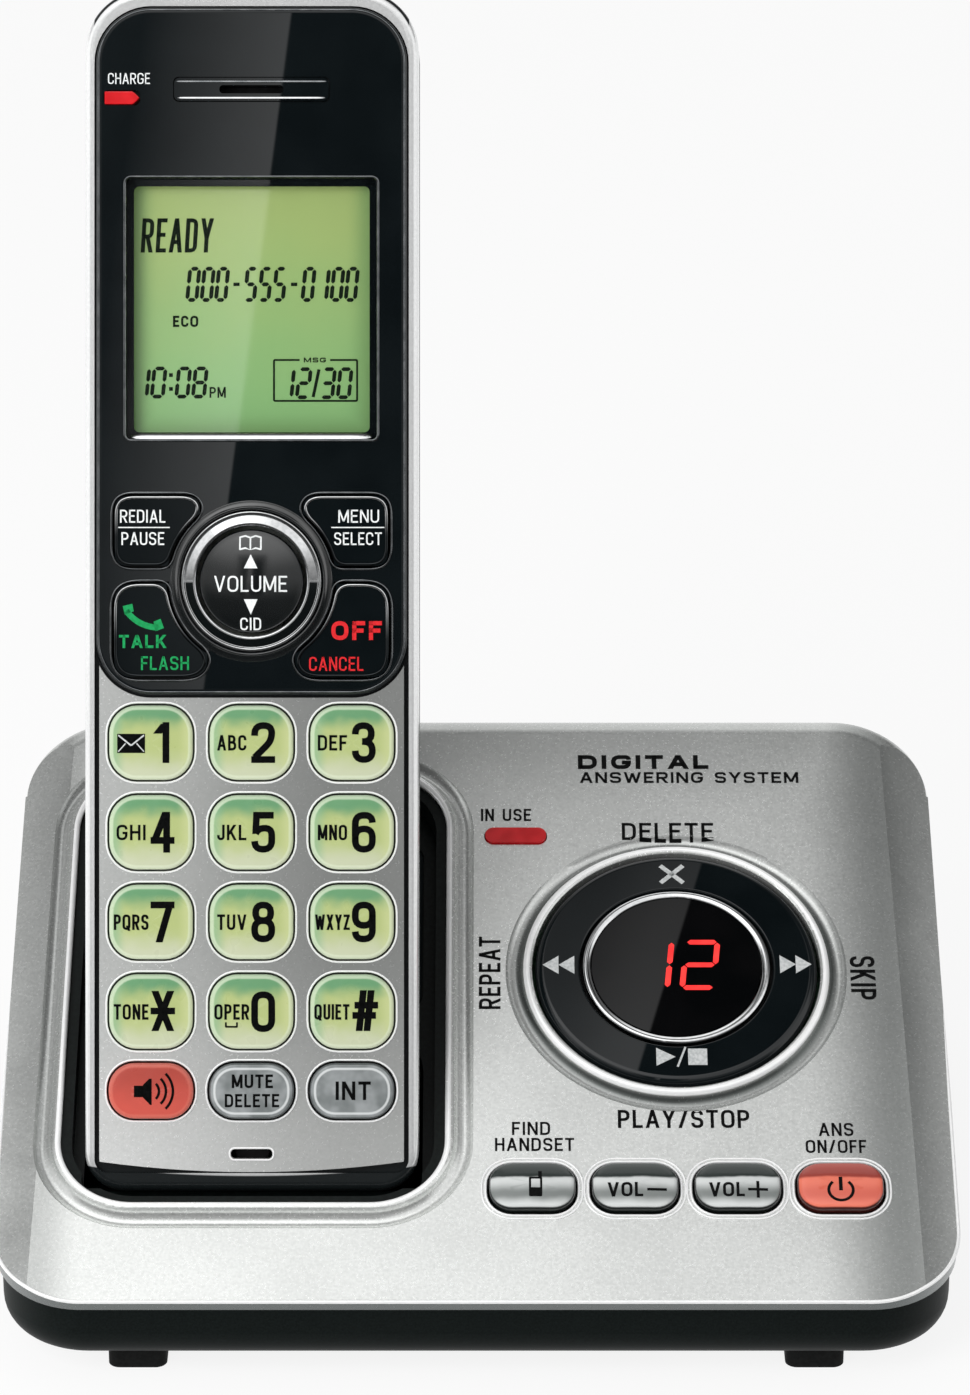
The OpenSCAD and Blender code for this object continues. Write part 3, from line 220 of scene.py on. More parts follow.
# the handset's rails: the same paint, polished smoother
railPaint = {"flake": 2600.0, "cloud": 60.0, "dark": tint(234, 235, 235), "light": tint(246, 247, 247),
             "rough": 0.2, "roughSpread": 0.06, "metal": 0.6}
flakeShare = 0.75


def sprayed(paint):
    def look(start, spot):
        flake = spot.noise(paint["flake"])
        shade = flakeShare * flake + (1 - flakeShare) * spot.noise(paint["cloud"], 1.0)
        return {"Base Color": shade.step(*noiseBand).blend(paint["dark"], paint["light"]),
                "Roughness": flake * paint["roughSpread"] + paint["rough"]}
    return look


# the base's face: painted shade in the hollow round the dial, along the shoulders, towards the back and below
# the front lip
face = {"dial": (29.6, 57.8), "ring": (22.2, 23.0, 25.0), "ringShadeShare": 0.95, "dark": tint(80, 85, 83),
        "right": (47.0, 61.0, 74.0), "rightShadeShare": 0.66, "left": (56.0, 63.0, 74.0), "leftShadeShare": 0.36,
        "back": (86.0, 105.0), "backShadeShare": 0.3, "lip": (0.2, 0.4), "lipUpTo": (8.0, 30.0),
        "rimFrom": (12.2, 12.6), "lipShade": tint(104, 109, 109), "lipShadeShare": 0.9}
# the shoulders fall away beyond a crease: height = crease - R + sqrt(R2 - run2), where R shrinks up the slope
shoulder = {"run": 11.0, "frontR": 40.0, "backR": 15.0, "crease": 0.4}


def fadedBand(distance, stops):
    return distance.step(stops[0], stops[1]) * (1 - distance.step(stops[1], stops[2]))


def faceLook(start, spot):
    look = sprayed(silver)(start, spot)
    x, u = spot.along(across, faceStart), spot.along(faceUp, faceStart)
    fromDial = (x - face["dial"][0]).hypot(u - face["dial"][1])
    # painted shade: darker towards both shoulders and the back, and in a band round the dial
    crease = fadedBand(x, face["right"]) * face["rightShadeShare"]
    crease = crease + fadedBand(0.0 - x, face["left"]) * face["leftShadeShare"]
    crease = crease.most(u.step(*face["back"]) * face["backShadeShare"])
    dark = crease.most(fadedBand(fromDial, face["ring"]) * face["ringShadeShare"])
    colour = dark.blend(look["Base Color"], face["dark"])
    # painted shade on the lip band: places below the face, outside its front corners and low on the slope
    radius = shoulder["frontR"] + u * ((shoulder["backR"] - shoulder["frontR"]) / base["faceLength"])
    run = (abs(x) - (base["width"] / 2 - shoulder["run"])).most(0.0)
    fall = start.math("SQRT", radius * radius - run * run) - radius + shoulder["crease"]
    below = fall.least(0.0) - spot.along(faceOut, faceStart)
    pastX, pastU = abs(x) - (base["width"] / 2 - base["corner"]), base["corner"] - u
    outside = pastX.most(0.0).hypot(pastU.most(0.0)).step(*face["rimFrom"]) * (1 - u.step(*face["lipUpTo"]))
    under = below.step(*face["lip"]) * outside * face["lipShadeShare"]
    look["Base Color"] = under.blend(colour, face["lipShade"])
    return look


# the keypad plate: a lighter paint with a painted reflection, darker to its right and up from its lower end
plate = {"flake": 2400.0, "cloud": 60.0, "dark": tint(238, 240, 238), "light": tint(252, 253, 252),
         "rough": 0.22, "roughSpread": 0.08, "across": (-22.0, 14.0), "acrossShare": 0.45,
         "along": (-6.0, 40.0), "alongShare": 0.42, "shade": tint(128, 130, 128), "metal": 0.45}


def plateLook(start, spot):
    look = sprayed(plate)(start, spot)
    x, w = handsetSpot(spot)
    # painted reflection: darker across to the right and up from the lower end
    shade = x.step(*plate["across"]) * plate["acrossShare"] + w.step(*plate["along"]) * plate["alongShare"]
    look["Base Color"] = shade.blend(look["Base Color"], plate["shade"])
    return look


# the handset's front shell: silver rails; below the plate a painted reflection of the dark cradle, black, on
# the chin; painted shade, black, on the floor under the panels
chin = {"edge": 2.3, "bow": 0.0025, "soft": 0.15, "floorDepth": (0.25, 0.35), "floorHalf": (22.63, 22.67),
        "black": tint(22, 26, 27)}


def railLook(start, spot):
    look = sprayed(railPaint)(start, spot)
    x, w = handsetSpot(spot)
    depth = 0.0 - spot.along(handsetOut, handsetStart)
    # painted shade on the floor under the panels, and painted reflection of the dark cradle on the chin below
    # the plate's bowed edge
    bottom = depth.step(*chin["floorDepth"]) * (1 - abs(x).step(*chin["floorHalf"]))
    low = x * x * chin["bow"] + chin["edge"] - w
    dark = low.step(-chin["soft"], chin["soft"]).most(bottom)
    look["Base Color"] = dark.blend(look["Base Color"], chin["black"])
    look["Metallic"] = (1 - dark) * railPaint["metal"]
    return look


# moulded black: a fine spark-eroded grain
moulded = {"grain": 3200.0, "detail": 3.0, "band": (0.25, 0.75), "dark": tint(8, 14, 13),
           "light": tint(18, 25, 24), "rough": 0.44, "roughSpread": 0.16, "relief": 0.12, "rise": 0.0001}


def shellLook(start, spot):
    grain = spot.noise(moulded["grain"], moulded["detail"])
    return {"Base Color": grain.step(*moulded["band"]).blend(moulded["dark"], moulded["light"]),
            "Roughness": grain * moulded["roughSpread"] + moulded["rough"],
            "Normal": grain.bump(moulded["relief"], moulded["rise"])}


# bright plating with a slight haze
plated = speckled((226, 228, 229), (240, 241, 242), 1500.0, 0.05, 0.04)
# the rocker's ring: plated all over, with a painted dark reflection over its lower half, black between two
# plated lines
ringSplit = {"at": 87.75, "inner": (8.25, 8.4), "outer": (9.45, 9.55), "below": (-0.3, 0.3),
             "black": tint(10, 14, 15)}


def ringLook(start, spot):
    look = plated(start, spot)
    x, w = handsetSpot(spot)
    above = w - ringSplit["at"]
    reach = x.hypot(above)
    # painted reflection: black between the two lines, on the lower half only
    dark = reach.step(*ringSplit["inner"]) * (1 - reach.step(*ringSplit["outer"]))
    dark = dark * (1 - above.step(*ringSplit["below"]))
    look["Base Color"] = dark.blend(look["Base Color"], ringSplit["black"])
    look["Metallic"] = 1 - dark
    return look


# plated lines round the function keys, with painted shade: bright along the top of each key, dim below
keyLine = {"upper": (94.0, 99.5), "lower": (79.0, 87.0), "between": (88.4, 89.6), "dim": tint(60, 64, 66)}


def keyLineLook(start, spot):
    look = plated(start, spot)
    w = spot.along(handsetUp, handsetStart)
    # painted shade: the line is dim except along the top of each key
    lit = w.step(*keyLine["upper"]) + w.step(*keyLine["lower"]) * (1 - w.step(*keyLine["between"]))
    look["Base Color"] = lit.blend(keyLine["dim"], look["Base Color"])
    return look


# lit key, painted light: shade and backlight over the crowned key as green at its upper edge, lime in the
# middle, cream below, warmer to the right, and a painted highlight on the paler rim; the colour also glows
# faintly
litKey = {"green": tint(100, 148, 106), "lime": tint(170, 182, 120), "cream": tint(188, 194, 164),
          "warm": tint(190, 198, 142), "mint": tint(130, 170, 134), "rim": tint(210, 220, 194),
          "limeFrom": (0.08, 0.44), "greenFrom": (0.64, 0.88), "warmFrom": (0.80, 0.96),
          "mintTo": (0.06, 0.22), "sideShare": 0.7, "rimTo": (0.5, 0.75), "rimShare": 0.55,
          "mottle": (420.0, 0.16), "rough": 0.3}


# noise about zero, which shifts a look by patches
def mottled(spot, scale, spread, detail=1.0):
    return spot.noise(scale, detail) * spread - spread / 2


# where a place lies on its key, 0 to 1 each way, and how far in from the rim, in mm
def capSpots(start):
    flat = start.node("UVMap", {"uv_map": "flat"})
    inset = start.node("Attribute", {"attribute_name": "inset"}, None, "Fac")
    return flat.part(0), flat.part(1), inset


def litLook(start, spot):
    x, y, inset = capSpots(start)
    patch = mottled(spot, *litKey["mottle"])
    # painted shade and backlight in bands down the key and to its sides, painted highlight at the rim
    colour = (y + patch).step(*litKey["limeFrom"]).blend(litKey["cream"], litKey["lime"])
    colour = (y + patch).step(*litKey["greenFrom"]).blend(colour, litKey["green"])
    colour = (x.step(*litKey["warmFrom"]) * litKey["sideShare"]).blend(colour, litKey["warm"])
    colour = ((1 - x.step(*litKey["mintTo"])) * litKey["sideShare"]).blend(colour, litKey["mint"])
    colour = ((1 - inset.step(*litKey["rimTo"])) * litKey["rimShare"]).blend(colour, litKey["rim"])
    return {"Base Color": colour, "Emission Color": colour, "Roughness": patch + litKey["rough"]}


# warm red key: painted shade, deeper at its upper edge, and a painted highlight on its paler rim; the colour
# also glows faintly
redKey = {"low": tint(196, 82, 70), "high": tint(168, 70, 60), "highFrom": (0.15, 0.85),
          "rim": tint(220, 124, 108), "rimTo": (0.5, 0.8), "rimShare": 0.35, "mottle": (380.0, 0.3),
          "rough": 0.28, "roughShare": 0.3}


def redLook(start, spot):
    y, inset = capSpots(start)[1:]
    patch = mottled(spot, *redKey["mottle"])
    # painted shade towards the upper edge, painted highlight at the rim
    colour = (y + patch).step(*redKey["highFrom"]).blend(redKey["low"], redKey["high"])
    colour = ((1 - inset.step(*redKey["rimTo"])) * redKey["rimShare"]).blend(colour, redKey["rim"])
    return {"Base Color": colour, "Emission Color": colour,
            "Roughness": patch * redKey["roughShare"] + redKey["rough"]}


# smoked clear key over a grey carrier: mottled, with a painted highlight as a bright line just inside its
# rim, and painted shade on its walls
smokeKey = {"dark": tint(112, 117, 117), "light": tint(150, 154, 155), "line": tint(222, 225, 225),
            "lineShare": 0.7, "lineFrom": (0.55, 0.7), "lineTo": (0.85, 1.05), "wall": tint(70, 75, 76),
            "wallTo": (0.12, 0.3), "mottle": 330.0, "rough": 0.2, "roughSpread": 0.1}


def smokeLook(start, spot):
    inset = capSpots(start)[2]
    patch = spot.noise(smokeKey["mottle"])
    colour = patch.step(*noiseBand).blend(smokeKey["dark"], smokeKey["light"])
    # painted highlight: a bright line just inside the rim; painted shade on the walls
    line = inset.step(*smokeKey["lineFrom"]) * (1 - inset.step(*smokeKey["lineTo"]))
    colour = (line * smokeKey["lineShare"]).blend(colour, smokeKey["line"])
    colour = (1 - inset.step(*smokeKey["wallTo"])).blend(colour, smokeKey["wall"])
    return {"Base Color": colour, "Roughness": patch * smokeKey["roughSpread"] + smokeKey["rough"]}


# base key, painted reflection and shade: bright lip at the front, pale middle, a dark step, then the darker
# back; painted shade on the walls; the red one also glows faintly
baseGrey = {"lip": tint(206, 209, 208), "pale": tint(116, 121, 119), "step": tint(42, 49, 47),
            "back": tint(58, 65, 63), "wall": tint(20, 25, 24)}
baseRed = {"lip": tint(228, 118, 96), "pale": tint(208, 94, 75), "step": tint(152, 62, 53),
           "back": tint(172, 74, 63), "wall": tint(62, 24, 21)}
baseBands = {"pale": (0.05, 0.26), "lip": (0.30, 0.56), "step": (0.60, 0.66), "back": (0.70, 1.0),
             "wall": (0.1, 0.28), "mottle": (300.0, 0.1, 2.0), "rough": 0.22}


def steppedKey(key):
    def look(start, spot):
        y, inset = capSpots(start)[1:]
        patch = mottled(spot, *baseBands["mottle"])
        colour = key["lip"]
        # painted reflection and shade in bands from the front lip to the back
        for zone in ("pale", "lip", "step"):
            colour = (y + patch).step(*baseBands[zone]).blend(colour, key[zone])
        colour = y.step(*baseBands["back"]).blend(colour, key["back"])
        colour = (1 - inset.step(*baseBands["wall"])).blend(colour, key["wall"])
        return {"Base Color": colour, "Emission Color": colour, "Roughness": patch + baseBands["rough"]}
    return look


# liquid crystal: yellow-green, greener to its lower end, darker along its sides and its foot
screen = {"upper": tint(160, 182, 110), "lower": tint(132, 180, 116), "edge": tint(112, 150, 92),
          "edgeShare": 0.7, "upperFrom": (109.2, 144.6), "sideFrom": (13.45, 16.95),
          "footTo": (109.2, 112.2), "cloud": (120.0, 8.0), "grain": 3000.0, "rough": 0.3,
          "roughSpread": 0.1}


def screenLook(start, spot):
    x, w = handsetSpot(spot)
    cloud = mottled(spot, *screen["cloud"])
    colour = (w + cloud).step(*screen["upperFrom"]).blend(screen["lower"], screen["upper"])
    edge = abs(x).step(*screen["sideFrom"]).most(1 - w.step(*screen["footTo"]))
    colour = (edge * screen["edgeShare"]).blend(colour, screen["edge"])
    return {"Base Color": colour, "Emission Color": colour,
            "Roughness": spot.noise(screen["grain"]) * screen["roughSpread"] + screen["rough"]}


# lit lens and lit figures: two close reds each
redLens = {"dark": tint(190, 16, 24), "light": tint(208, 24, 32), "drift": 350.0, "rough": 0.16,
           "roughSpread": 0.06}
redFigure = {"dark": tint(222, 30, 32), "light": tint(250, 52, 46), "drift": 500.0, "band": (0.2, 0.8)}


def lensLook(start, spot):
    glow = spot.noise(redLens["drift"], 1.0).step(*noiseBand)
    colour = glow.blend(redLens["dark"], redLens["light"])
    return {"Base Color": colour, "Emission Color": colour,
            "Roughness": glow * redLens["roughSpread"] + redLens["rough"]}


def lampLook(start, spot):
    glow = spot.noise(redFigure["drift"]).step(*redFigure["band"])
    colour = glow.blend(redFigure["dark"], redFigure["light"])
    return {"Base Color": colour, "Emission Color": colour}


# finishes with a look of their own
metal, dull = {"Metallic": 1.0}, {"Specular IOR Level": 0.2}
shaped = {
    "face": (faceLook, {"Metallic": silver["metal"]}), "plate": (plateLook, {"Metallic": plate["metal"]}),
    "rail": (railLook, {}), "shell": (shellLook, {"Specular IOR Level": 0.14}), "chrome": (plated, metal),
    "ring": (ringLook, {}), "keyLine": (keyLineLook, metal), "smoke": (smokeLook, {"Coat Weight": 0.3}),
    "lit": (litLook, {"Emission Strength": 0.05, "Coat Weight": 0.25}),
    "red": (redLook, {"Emission Strength": 0.04, "Coat Weight": 0.2}),
    "baseKey": (steppedKey(baseGrey), {"Coat Weight": 0.3}),
    "baseRed": (steppedKey(baseRed), {"Emission Strength": 0.04, "Coat Weight": 0.3}),
    "screen": (screenLook, {"Emission Strength": 0.2, "Coat Weight": 1.0, "Coat IOR": 1.8,
                            "Coat Roughness": 0.02}),
    "lens": (lensLook, {"Emission Strength": 0.04, "Coat Weight": 0.2}),
    "lamp": (lampLook, {"Emission Strength": 0.72, "Roughness": 0.4}),
    "rubber": (speckled((12, 13, 13), (22, 23, 23), 1800.0, 0.75, 0.1, 0.2), dull),
    "inner": (speckled((14, 15, 16), (26, 27, 28), 1400.0, 0.5, 0.1, 0.1), {})}
# plain ones: two colours, the grain's scale, roughness and its spread, and what else the shader is told
grained = {
    # edge: near white, a painted highlight on beads and cut edges
    "edge": ((248, 249, 249), (254, 254, 254), 900.0, 0.2, 0.1, {"Metallic": 0.25}),
    "gloss": ((9, 14, 16), (14, 19, 21), 90.0, 0.004, 0.008, {}),
    "keyBlack": ((9, 14, 16), (14, 19, 21), 90.0, 0.004, 0.008, {"Specular IOR Level": 0.12}),
    "cradle": ((9, 13, 12), (17, 22, 21), 1500.0, 0.3, 0.1, {"Specular IOR Level": 0.14}),
    "hair": ((120, 124, 126), (152, 155, 157), 500.0, 0.2, 0.08, metal),
    "button": ((8, 12, 13), (13, 17, 18), 90.0, 0.12, 0.05,
               {"Coat Weight": 1.0, "Coat IOR": 1.8, "Coat Roughness": 0.12}),
    "glass": ((20, 24, 24), (30, 34, 34), 80.0, 0.02, 0.01, {"Alpha": 0.06}),
    "window": ((5, 6, 7), (9, 9, 10), 120.0, 0.004, 0.008, {}),
    "board": ((24, 74, 46), (40, 104, 64), 700.0, 0.4, 0.1, {}),
    "silicone": ((150, 154, 150), (172, 176, 170), 900.0, 0.6, 0.1, {}),
    "contact": ((206, 190, 140), (226, 212, 166), 1200.0, 0.24, 0.1, metal),
    "steel": ((150, 151, 152), (182, 183, 184), 1500.0, 0.3, 0.1, metal),
    "wrap": ((58, 112, 72), (78, 140, 92), 500.0, 0.3, 0.1, {}),
    "whiteInk": ((222, 226, 226), (240, 242, 242), 2400.0, 0.45, 0.1, dull),
    "blackInk": ((4, 5, 5), (12, 13, 13), 2400.0, 0.5, 0.1, {"Specular IOR Level": 0.08}),
    "greyInk": ((176, 180, 180), (206, 208, 208), 2400.0, 0.45, 0.1, dull),
    "greenInk": ((0, 142, 74), (10, 160, 88), 2400.0, 0.45, 0.1, {}),
    "redInk": ((206, 20, 28), (222, 30, 36), 2400.0, 0.45, 0.1, {}),
    "screenInk": ((14, 24, 14), (26, 38, 24), 2000.0, 0.4, 0.1, {"Specular IOR Level": 0.1})}
finishes = {name: makeFinish(name, plain, look) for name, (look, plain) in shaped.items()}
for name, (*grain, plain) in grained.items():
    finishes[name] = makeFinish(name, plain, speckled(*grain))
print("finishes made:", len(finishes))

# studio: bright overhead, behind and at the sides; dim and low on the camera's side; grey at the flanks
studio = {"high": 1.0, "mid": 0.3, "low": 0.06, "lowUp": (0.15, 0.45), "midUp": (0.50, 0.85),
          "front": (0.30, 0.56), "flank": 0.1, "flankLeft": 0.22, "flankSide": (0.18, 0.42),
          "flankDeep": (0.04, 0.28), "flankUp": (0.10, 0.26), "leftFrom": (0.0, 0.1), "soft": 0.6}
world = bpy.data.worlds.new("studio")
scene.world = world
world.use_nodes = True
sky = Wire(world.node_tree)
way = sky.spot("Generated")
side, deep, up = way.part(0), way.part(1), way.part(2)
ahead = up.step(*studio["lowUp"]) * (studio["mid"] - studio["low"]) + studio["low"]
ahead = ahead + up.step(*studio["midUp"]) * (studio["high"] - studio["mid"])
level = studio["high"] + (0.0 - deep).step(*studio["front"]) * (ahead - studio["high"])
flank = abs(side).step(*studio["flankSide"]) * deep.step(*studio["flankDeep"]) * up.step(*studio["flankUp"])
leftRise = (0.0 - side).step(*studio["leftFrom"]) * (studio["flankLeft"] - studio["flank"])
level = level + flank * (leftRise + studio["flank"] - level)
level = level + sky.ray("Diffuse") * (studio["soft"] - level)
level = level + sky.ray("Camera") * (1 - level)
backdrop = world.node_tree.nodes["Background"]
backdrop.inputs["Color"].default_value = (1, 1, 1, 1)
world.node_tree.links.new(level.socket, backdrop.inputs["Strength"])


def addObject(name, data):
    made = bpy.data.objects.new(name, data)
    scene.collection.objects.link(made)
    return made


def quadObject(name, corners):
    mesh = bpy.data.meshes.new(name)
    mesh.from_pydata(np.asarray(corners).tolist(), [], [(0, 1, 2, 3)])
    made = addObject(name, mesh)
    return made


# a surface with a light of its own, which isn't sampled as a lamp
def glowFinish(target, build):
    finish = bpy.data.materials.new(target.name)
    finish.use_nodes = True
    finish.cycles.emission_sampling = "NONE"
    tree = finish.node_tree
    tree.links.new(build(Wire(tree)).socket, tree.nodes["Material Output"].inputs["Surface"])
    target.data.materials.append(finish)


# the floor is white to the camera, and to mirrors dark in front of the part
floor = {"half": 4.0, "front": -4.0, "back": 5.0, "white": tint(250, 250, 250), "glow": 0.86,
         "mirror": (0.04, 0.95), "dark": (-0.085, -0.045)}


def floorLook(wire):
    matte = wire.node("BsdfDiffuse", None, {"Color": floor["white"]})
    seen, mirrored, through = [wire.ray(kind) for kind in ("Camera", "Glossy", "Transmission")]
    dark, bright = floor["mirror"]
    mirror = wire.spot().part(1).step(*floor["dark"]) * (bright - dark) + dark
    glow = wire.node("Emission", None, {"Strength": 1 + mirrored * (mirror - 1)})
    share = (seen + through) * floor["glow"] + mirrored
    return wire.node("MixShader", None, {0: share.least(1.0), 1: matte, 2: glow})


floorCorners = [(-floor["half"], floor["front"], 0), (floor["half"], floor["front"], 0),
                (floor["half"], floor["back"], 0), (-floor["half"], floor["back"], 0)]
glowFinish(quadObject("paleFloor", floorCorners), floorLook)


# a card that only mirrors see: a grey pattern of its own in mm, along two directions from a start
def mirrorCard(name, start, right, upward, reach, pattern):
    (left, wide), (low, high) = reach
    places = ((left, low), (wide, low), (wide, high), (left, high))
    card = quadObject(name, np.array([start + x * right + y * upward for x, y in places]) * mm)

    def cardLook(wire):
        spot = wire.spot()
        value = pattern(spot.along(right, start), spot.along(upward, start))
        return wire.node("Emission", None, {"Strength": value})

    glowFinish(card, cardLook)
    card.visible_camera = card.visible_diffuse = card.visible_shadow = card.visible_transmission = False


# how far a place lies to the right of a card's slanting edge
def pastEdge(card, x, y):
    return x - (y - card["edge"][1]) * card["lean"] - card["edge"][0]


# beside the camera: the pale edge that shows as the slanting glare down the black front, dark to its right
frontCard = {"behind": 60.0, "edge": (-57.4, 208.5), "lean": 0.1298, "soft": 0.5, "bright": 1.15,
             "fade": 46.0, "faded": 0.04, "least": 0.02, "low": (-30.0, 70.0), "lowDrop": 0.45,
             "around": 0.3, "leftEnd": (-170.0, -80.0), "rightEnd": (30.0, 100.0), "topEnd": (240.0, 330.0),
             "reach": ((-230.0, 110.0), (-110.0, 340.0))}
cameraPlace = np.array(photoCamera.location) / mm
cameraUp = np.cross(across, -np.array(towardCamera))


def frontPattern(x, y):
    off = pastEdge(frontCard, x, y)
    glare = (off / frontCard["fade"] + 1).most(frontCard["faded"])
    glare = glare * (1 - (1 - y.step(*frontCard["low"])) * frontCard["lowDrop"])
    glare = glare * (1 - off.step(-frontCard["soft"], frontCard["soft"]))
    shown = glare * frontCard["bright"] + frontCard["least"]
    outside = (1 - off.step(*frontCard["leftEnd"])).most(x.step(*frontCard["rightEnd"]))
    outside = outside.most(y.step(*frontCard["topEnd"]))
    return shown + (frontCard["around"] - shown) * outside


mirrorCard("frontCard", cameraPlace + frontCard["behind"] * np.array(towardCamera), across, cameraUp,
           frontCard["reach"], frontPattern)

# overhead: bright in front, dimmer to the back and right; a dark patch whose slanted edge crosses the dial
skyCard = {"height": 1000.0, "edge": (52.7, 131.3), "lean": 0.311, "soft": 0.6, "bright": 1.7, "dark": 0.005,
           "back": (0.0, 330.0), "backDrop": 0.93, "right": (-150.0, 260.0), "rightDrop": 0.48,
           "behind": (430.0, 640.0), "behindRise": 0.6,
           "sides": (230.0, 430.0), "sideDrop": 0.85, "sidesFrom": (-60.0, 140.0),
           "patchRight": (125.0, 185.0), "patchBack": (225.0, 270.0), "patchFront": (60.0, 100.0),
           "dimLeft": (-45.0, 10.0), "dimRight": (-38.0, -2.0), "dim": 0.55,
           "reach": ((-600.0, 600.0), (-500.0, 700.0))}


def skyPattern(x, y):
    shown = 1 - y.step(*skyCard["back"]) * skyCard["backDrop"]
    shown = shown * (1 - x.step(*skyCard["right"]) * skyCard["rightDrop"])
    shown = shown + y.step(*skyCard["behind"]) * skyCard["behindRise"]
    beside = abs(x).step(*skyCard["sides"]) * y.step(*skyCard["sidesFrom"])
    shown = shown * (1 - beside * skyCard["sideDrop"]) * skyCard["bright"]
    off = pastEdge(skyCard, x, y)
    span = (1 - y.step(*skyCard["patchBack"])) * y.step(*skyCard["patchFront"])
    dim = x.step(*skyCard["dimLeft"]) * (1 - off.step(*skyCard["dimRight"])) * span
    shown = shown * (1 - dim * skyCard["dim"])
    patch = off.step(-skyCard["soft"], skyCard["soft"]) * (1 - x.step(*skyCard["patchRight"])) * span
    return shown + patch * (skyCard["dark"] - shown)


mirrorCard("skyCard", np.array([0, 0, skyCard["height"]]), across, np.array([0.0, 1.0, 0.0]),
           skyCard["reach"], skyPattern)

# a soft lamp up on the left, on the camera's side
keyLamp = {"place": (-0.32, -0.44, 0.40), "size": 0.36, "power": 2.6}
lampData = bpy.data.lights.new("keyLamp", "AREA")
lampData.size, lampData.energy = keyLamp["size"], keyLamp["power"]
lamp = addObject("keyLamp", lampData)
lamp.location = keyLamp["place"]
lamp.rotation_mode = "QUATERNION"
lamp.rotation_quaternion = (-Vector(keyLamp["place"])).to_track_quat("-Z", "Y")
lamp.visible_glossy = False
print("studio lit")


# rows of points joined by quads: columns close on themselves, rows only where asked, ends drawn to a pole
def gridPart(rows, closeRows=False, firstPole=False, lastPole=False):
    count, perRow = rows.shape[:2]
    index = np.arange(count * perRow).reshape(count, perRow)
    if closeRows:
        index = np.vstack([index, index[:1]])
    beside = np.roll(index, -1, axis=1)
    faces = np.stack([index[:-1], beside[:-1], beside[1:], index[1:]], -1).reshape(-1, 4).tolist()
    points = rows.reshape(-1, rows.shape[2])
    for asked, row in ((firstPole, 0), (lastPole, count - 1)):
        if asked:
            points = np.vstack([points, rows[row].mean(0)])
            pole = np.full(perRow, len(points) - 1)
            fan = np.stack([index[row], beside[row], pole], -1)
            faces += (fan if row else fan[:, [1, 0, 2]]).tolist()
    return points, faces


# corner centres and outward ways round a rounded rectangle: place = centre + (radius - inset) x way
def roundedFrame(w, l, r, arcSteps=8, sideSteps=6):
    reachX, reachY = w / 2 - r, l / 2 - r
    corners = np.array([[reachX, -reachY], [reachX, reachY], [-reachX, reachY], [-reachX, -reachY]])
    centres, ways = [], []
    for corner, after, start in zip(corners, np.roll(corners, -1, axis=0), (-90, 0, 90, 180)):
        turn = np.radians(start + np.linspace(0, 90, arcSteps + 1))
        walk = np.linspace(0, 1, sideSteps + 1)[1:-1, None]
        centres += [np.repeat(corner[None], arcSteps + 1, 0), corner + walk * (after - corner)]
        arc = np.stack([np.cos(turn), np.sin(turn)], -1)
        ways += [arc, np.repeat(arc[-1:], sideSteps - 1, 0)]
    return np.vstack(centres), np.vstack(ways)


def roundedLoop(w, l, r, arcSteps=8, sideSteps=6):
    centres, ways = roundedFrame(w, l, r, arcSteps, sideSteps)
    return centres + r * ways


# the outline of a rounded piece about its place, grown on all sides
def grownLoop(piece, grow, place, arcSteps=8, sideSteps=6):
    loop = roundedLoop(piece["w"] + 2 * grow, piece["l"] + 2 * grow, piece["r"] + grow, arcSteps, sideSteps)
    return loop + np.array(place)


# evenly spaced places along a run, by length, and along a closed loop
def evenRun(path, count):
    run = np.concatenate([[0], np.cumsum(np.linalg.norm(np.diff(path, axis=0), axis=1))])
    stops = np.linspace(0, run[-1], count)
    return np.stack([np.interp(stops, run, path[:, k]) for k in range(2)], -1)


def evenLoop(loop, count):
    return evenRun(np.vstack([loop, loop[:1]]), count + 1)[:-1]


# a round bead carried along a closed flat loop: loop + radius (cos a outward, sin a up)
def beadPart(loop, radius, height, turns=8):
    ahead = np.roll(loop, -1, axis=0) - np.roll(loop, 1, axis=0)
    outward = np.stack([ahead[:, 1], -ahead[:, 0]], -1) / np.linalg.norm(ahead, axis=1)[:, None]
    turn = np.linspace(0, 2 * np.pi, turns, endpoint=False)[:, None, None]
    flat = loop[None] + radius * np.cos(turn) * outward[None]
    lift = np.broadcast_to(height + radius * np.sin(turn), flat.shape[:2] + (1,))
    return gridPart(np.concatenate([flat, lift], -1), closeRows=True)


# a profile of radius and height turned about an upright axis
def turnedPart(profile, centre, steps=96, closeRows=False, lastPole=False):
    turn = np.linspace(0, 2 * np.pi, steps, endpoint=False)
    r, h = profile[:, :1], profile[:, 1:]
    rows = np.stack([centre[0] + r * np.cos(turn), centre[1] + r * np.sin(turn), h + 0 * turn], -1)
    return gridPart(rows, closeRows=closeRows, lastPole=lastPole)


# quarter round from the wall to the flat: (inset, height) of an edge of that radius under a top
def edgeRound(radius, top, steps=7):
    turn = np.linspace(0, np.pi / 2, steps)
    return np.stack([radius * (1 - np.cos(turn)), top - radius + radius * np.sin(turn)], -1)


# parts as one: each one's faces count on from the points before it
def joinParts(parts):
    points, faces, start = [], [], 0
    for partPoints, partFaces in parts:
        points.append(partPoints)
        faces += [[start + k for k in face] for face in partFaces]
        start += len(partPoints)
    return np.vstack(points), faces


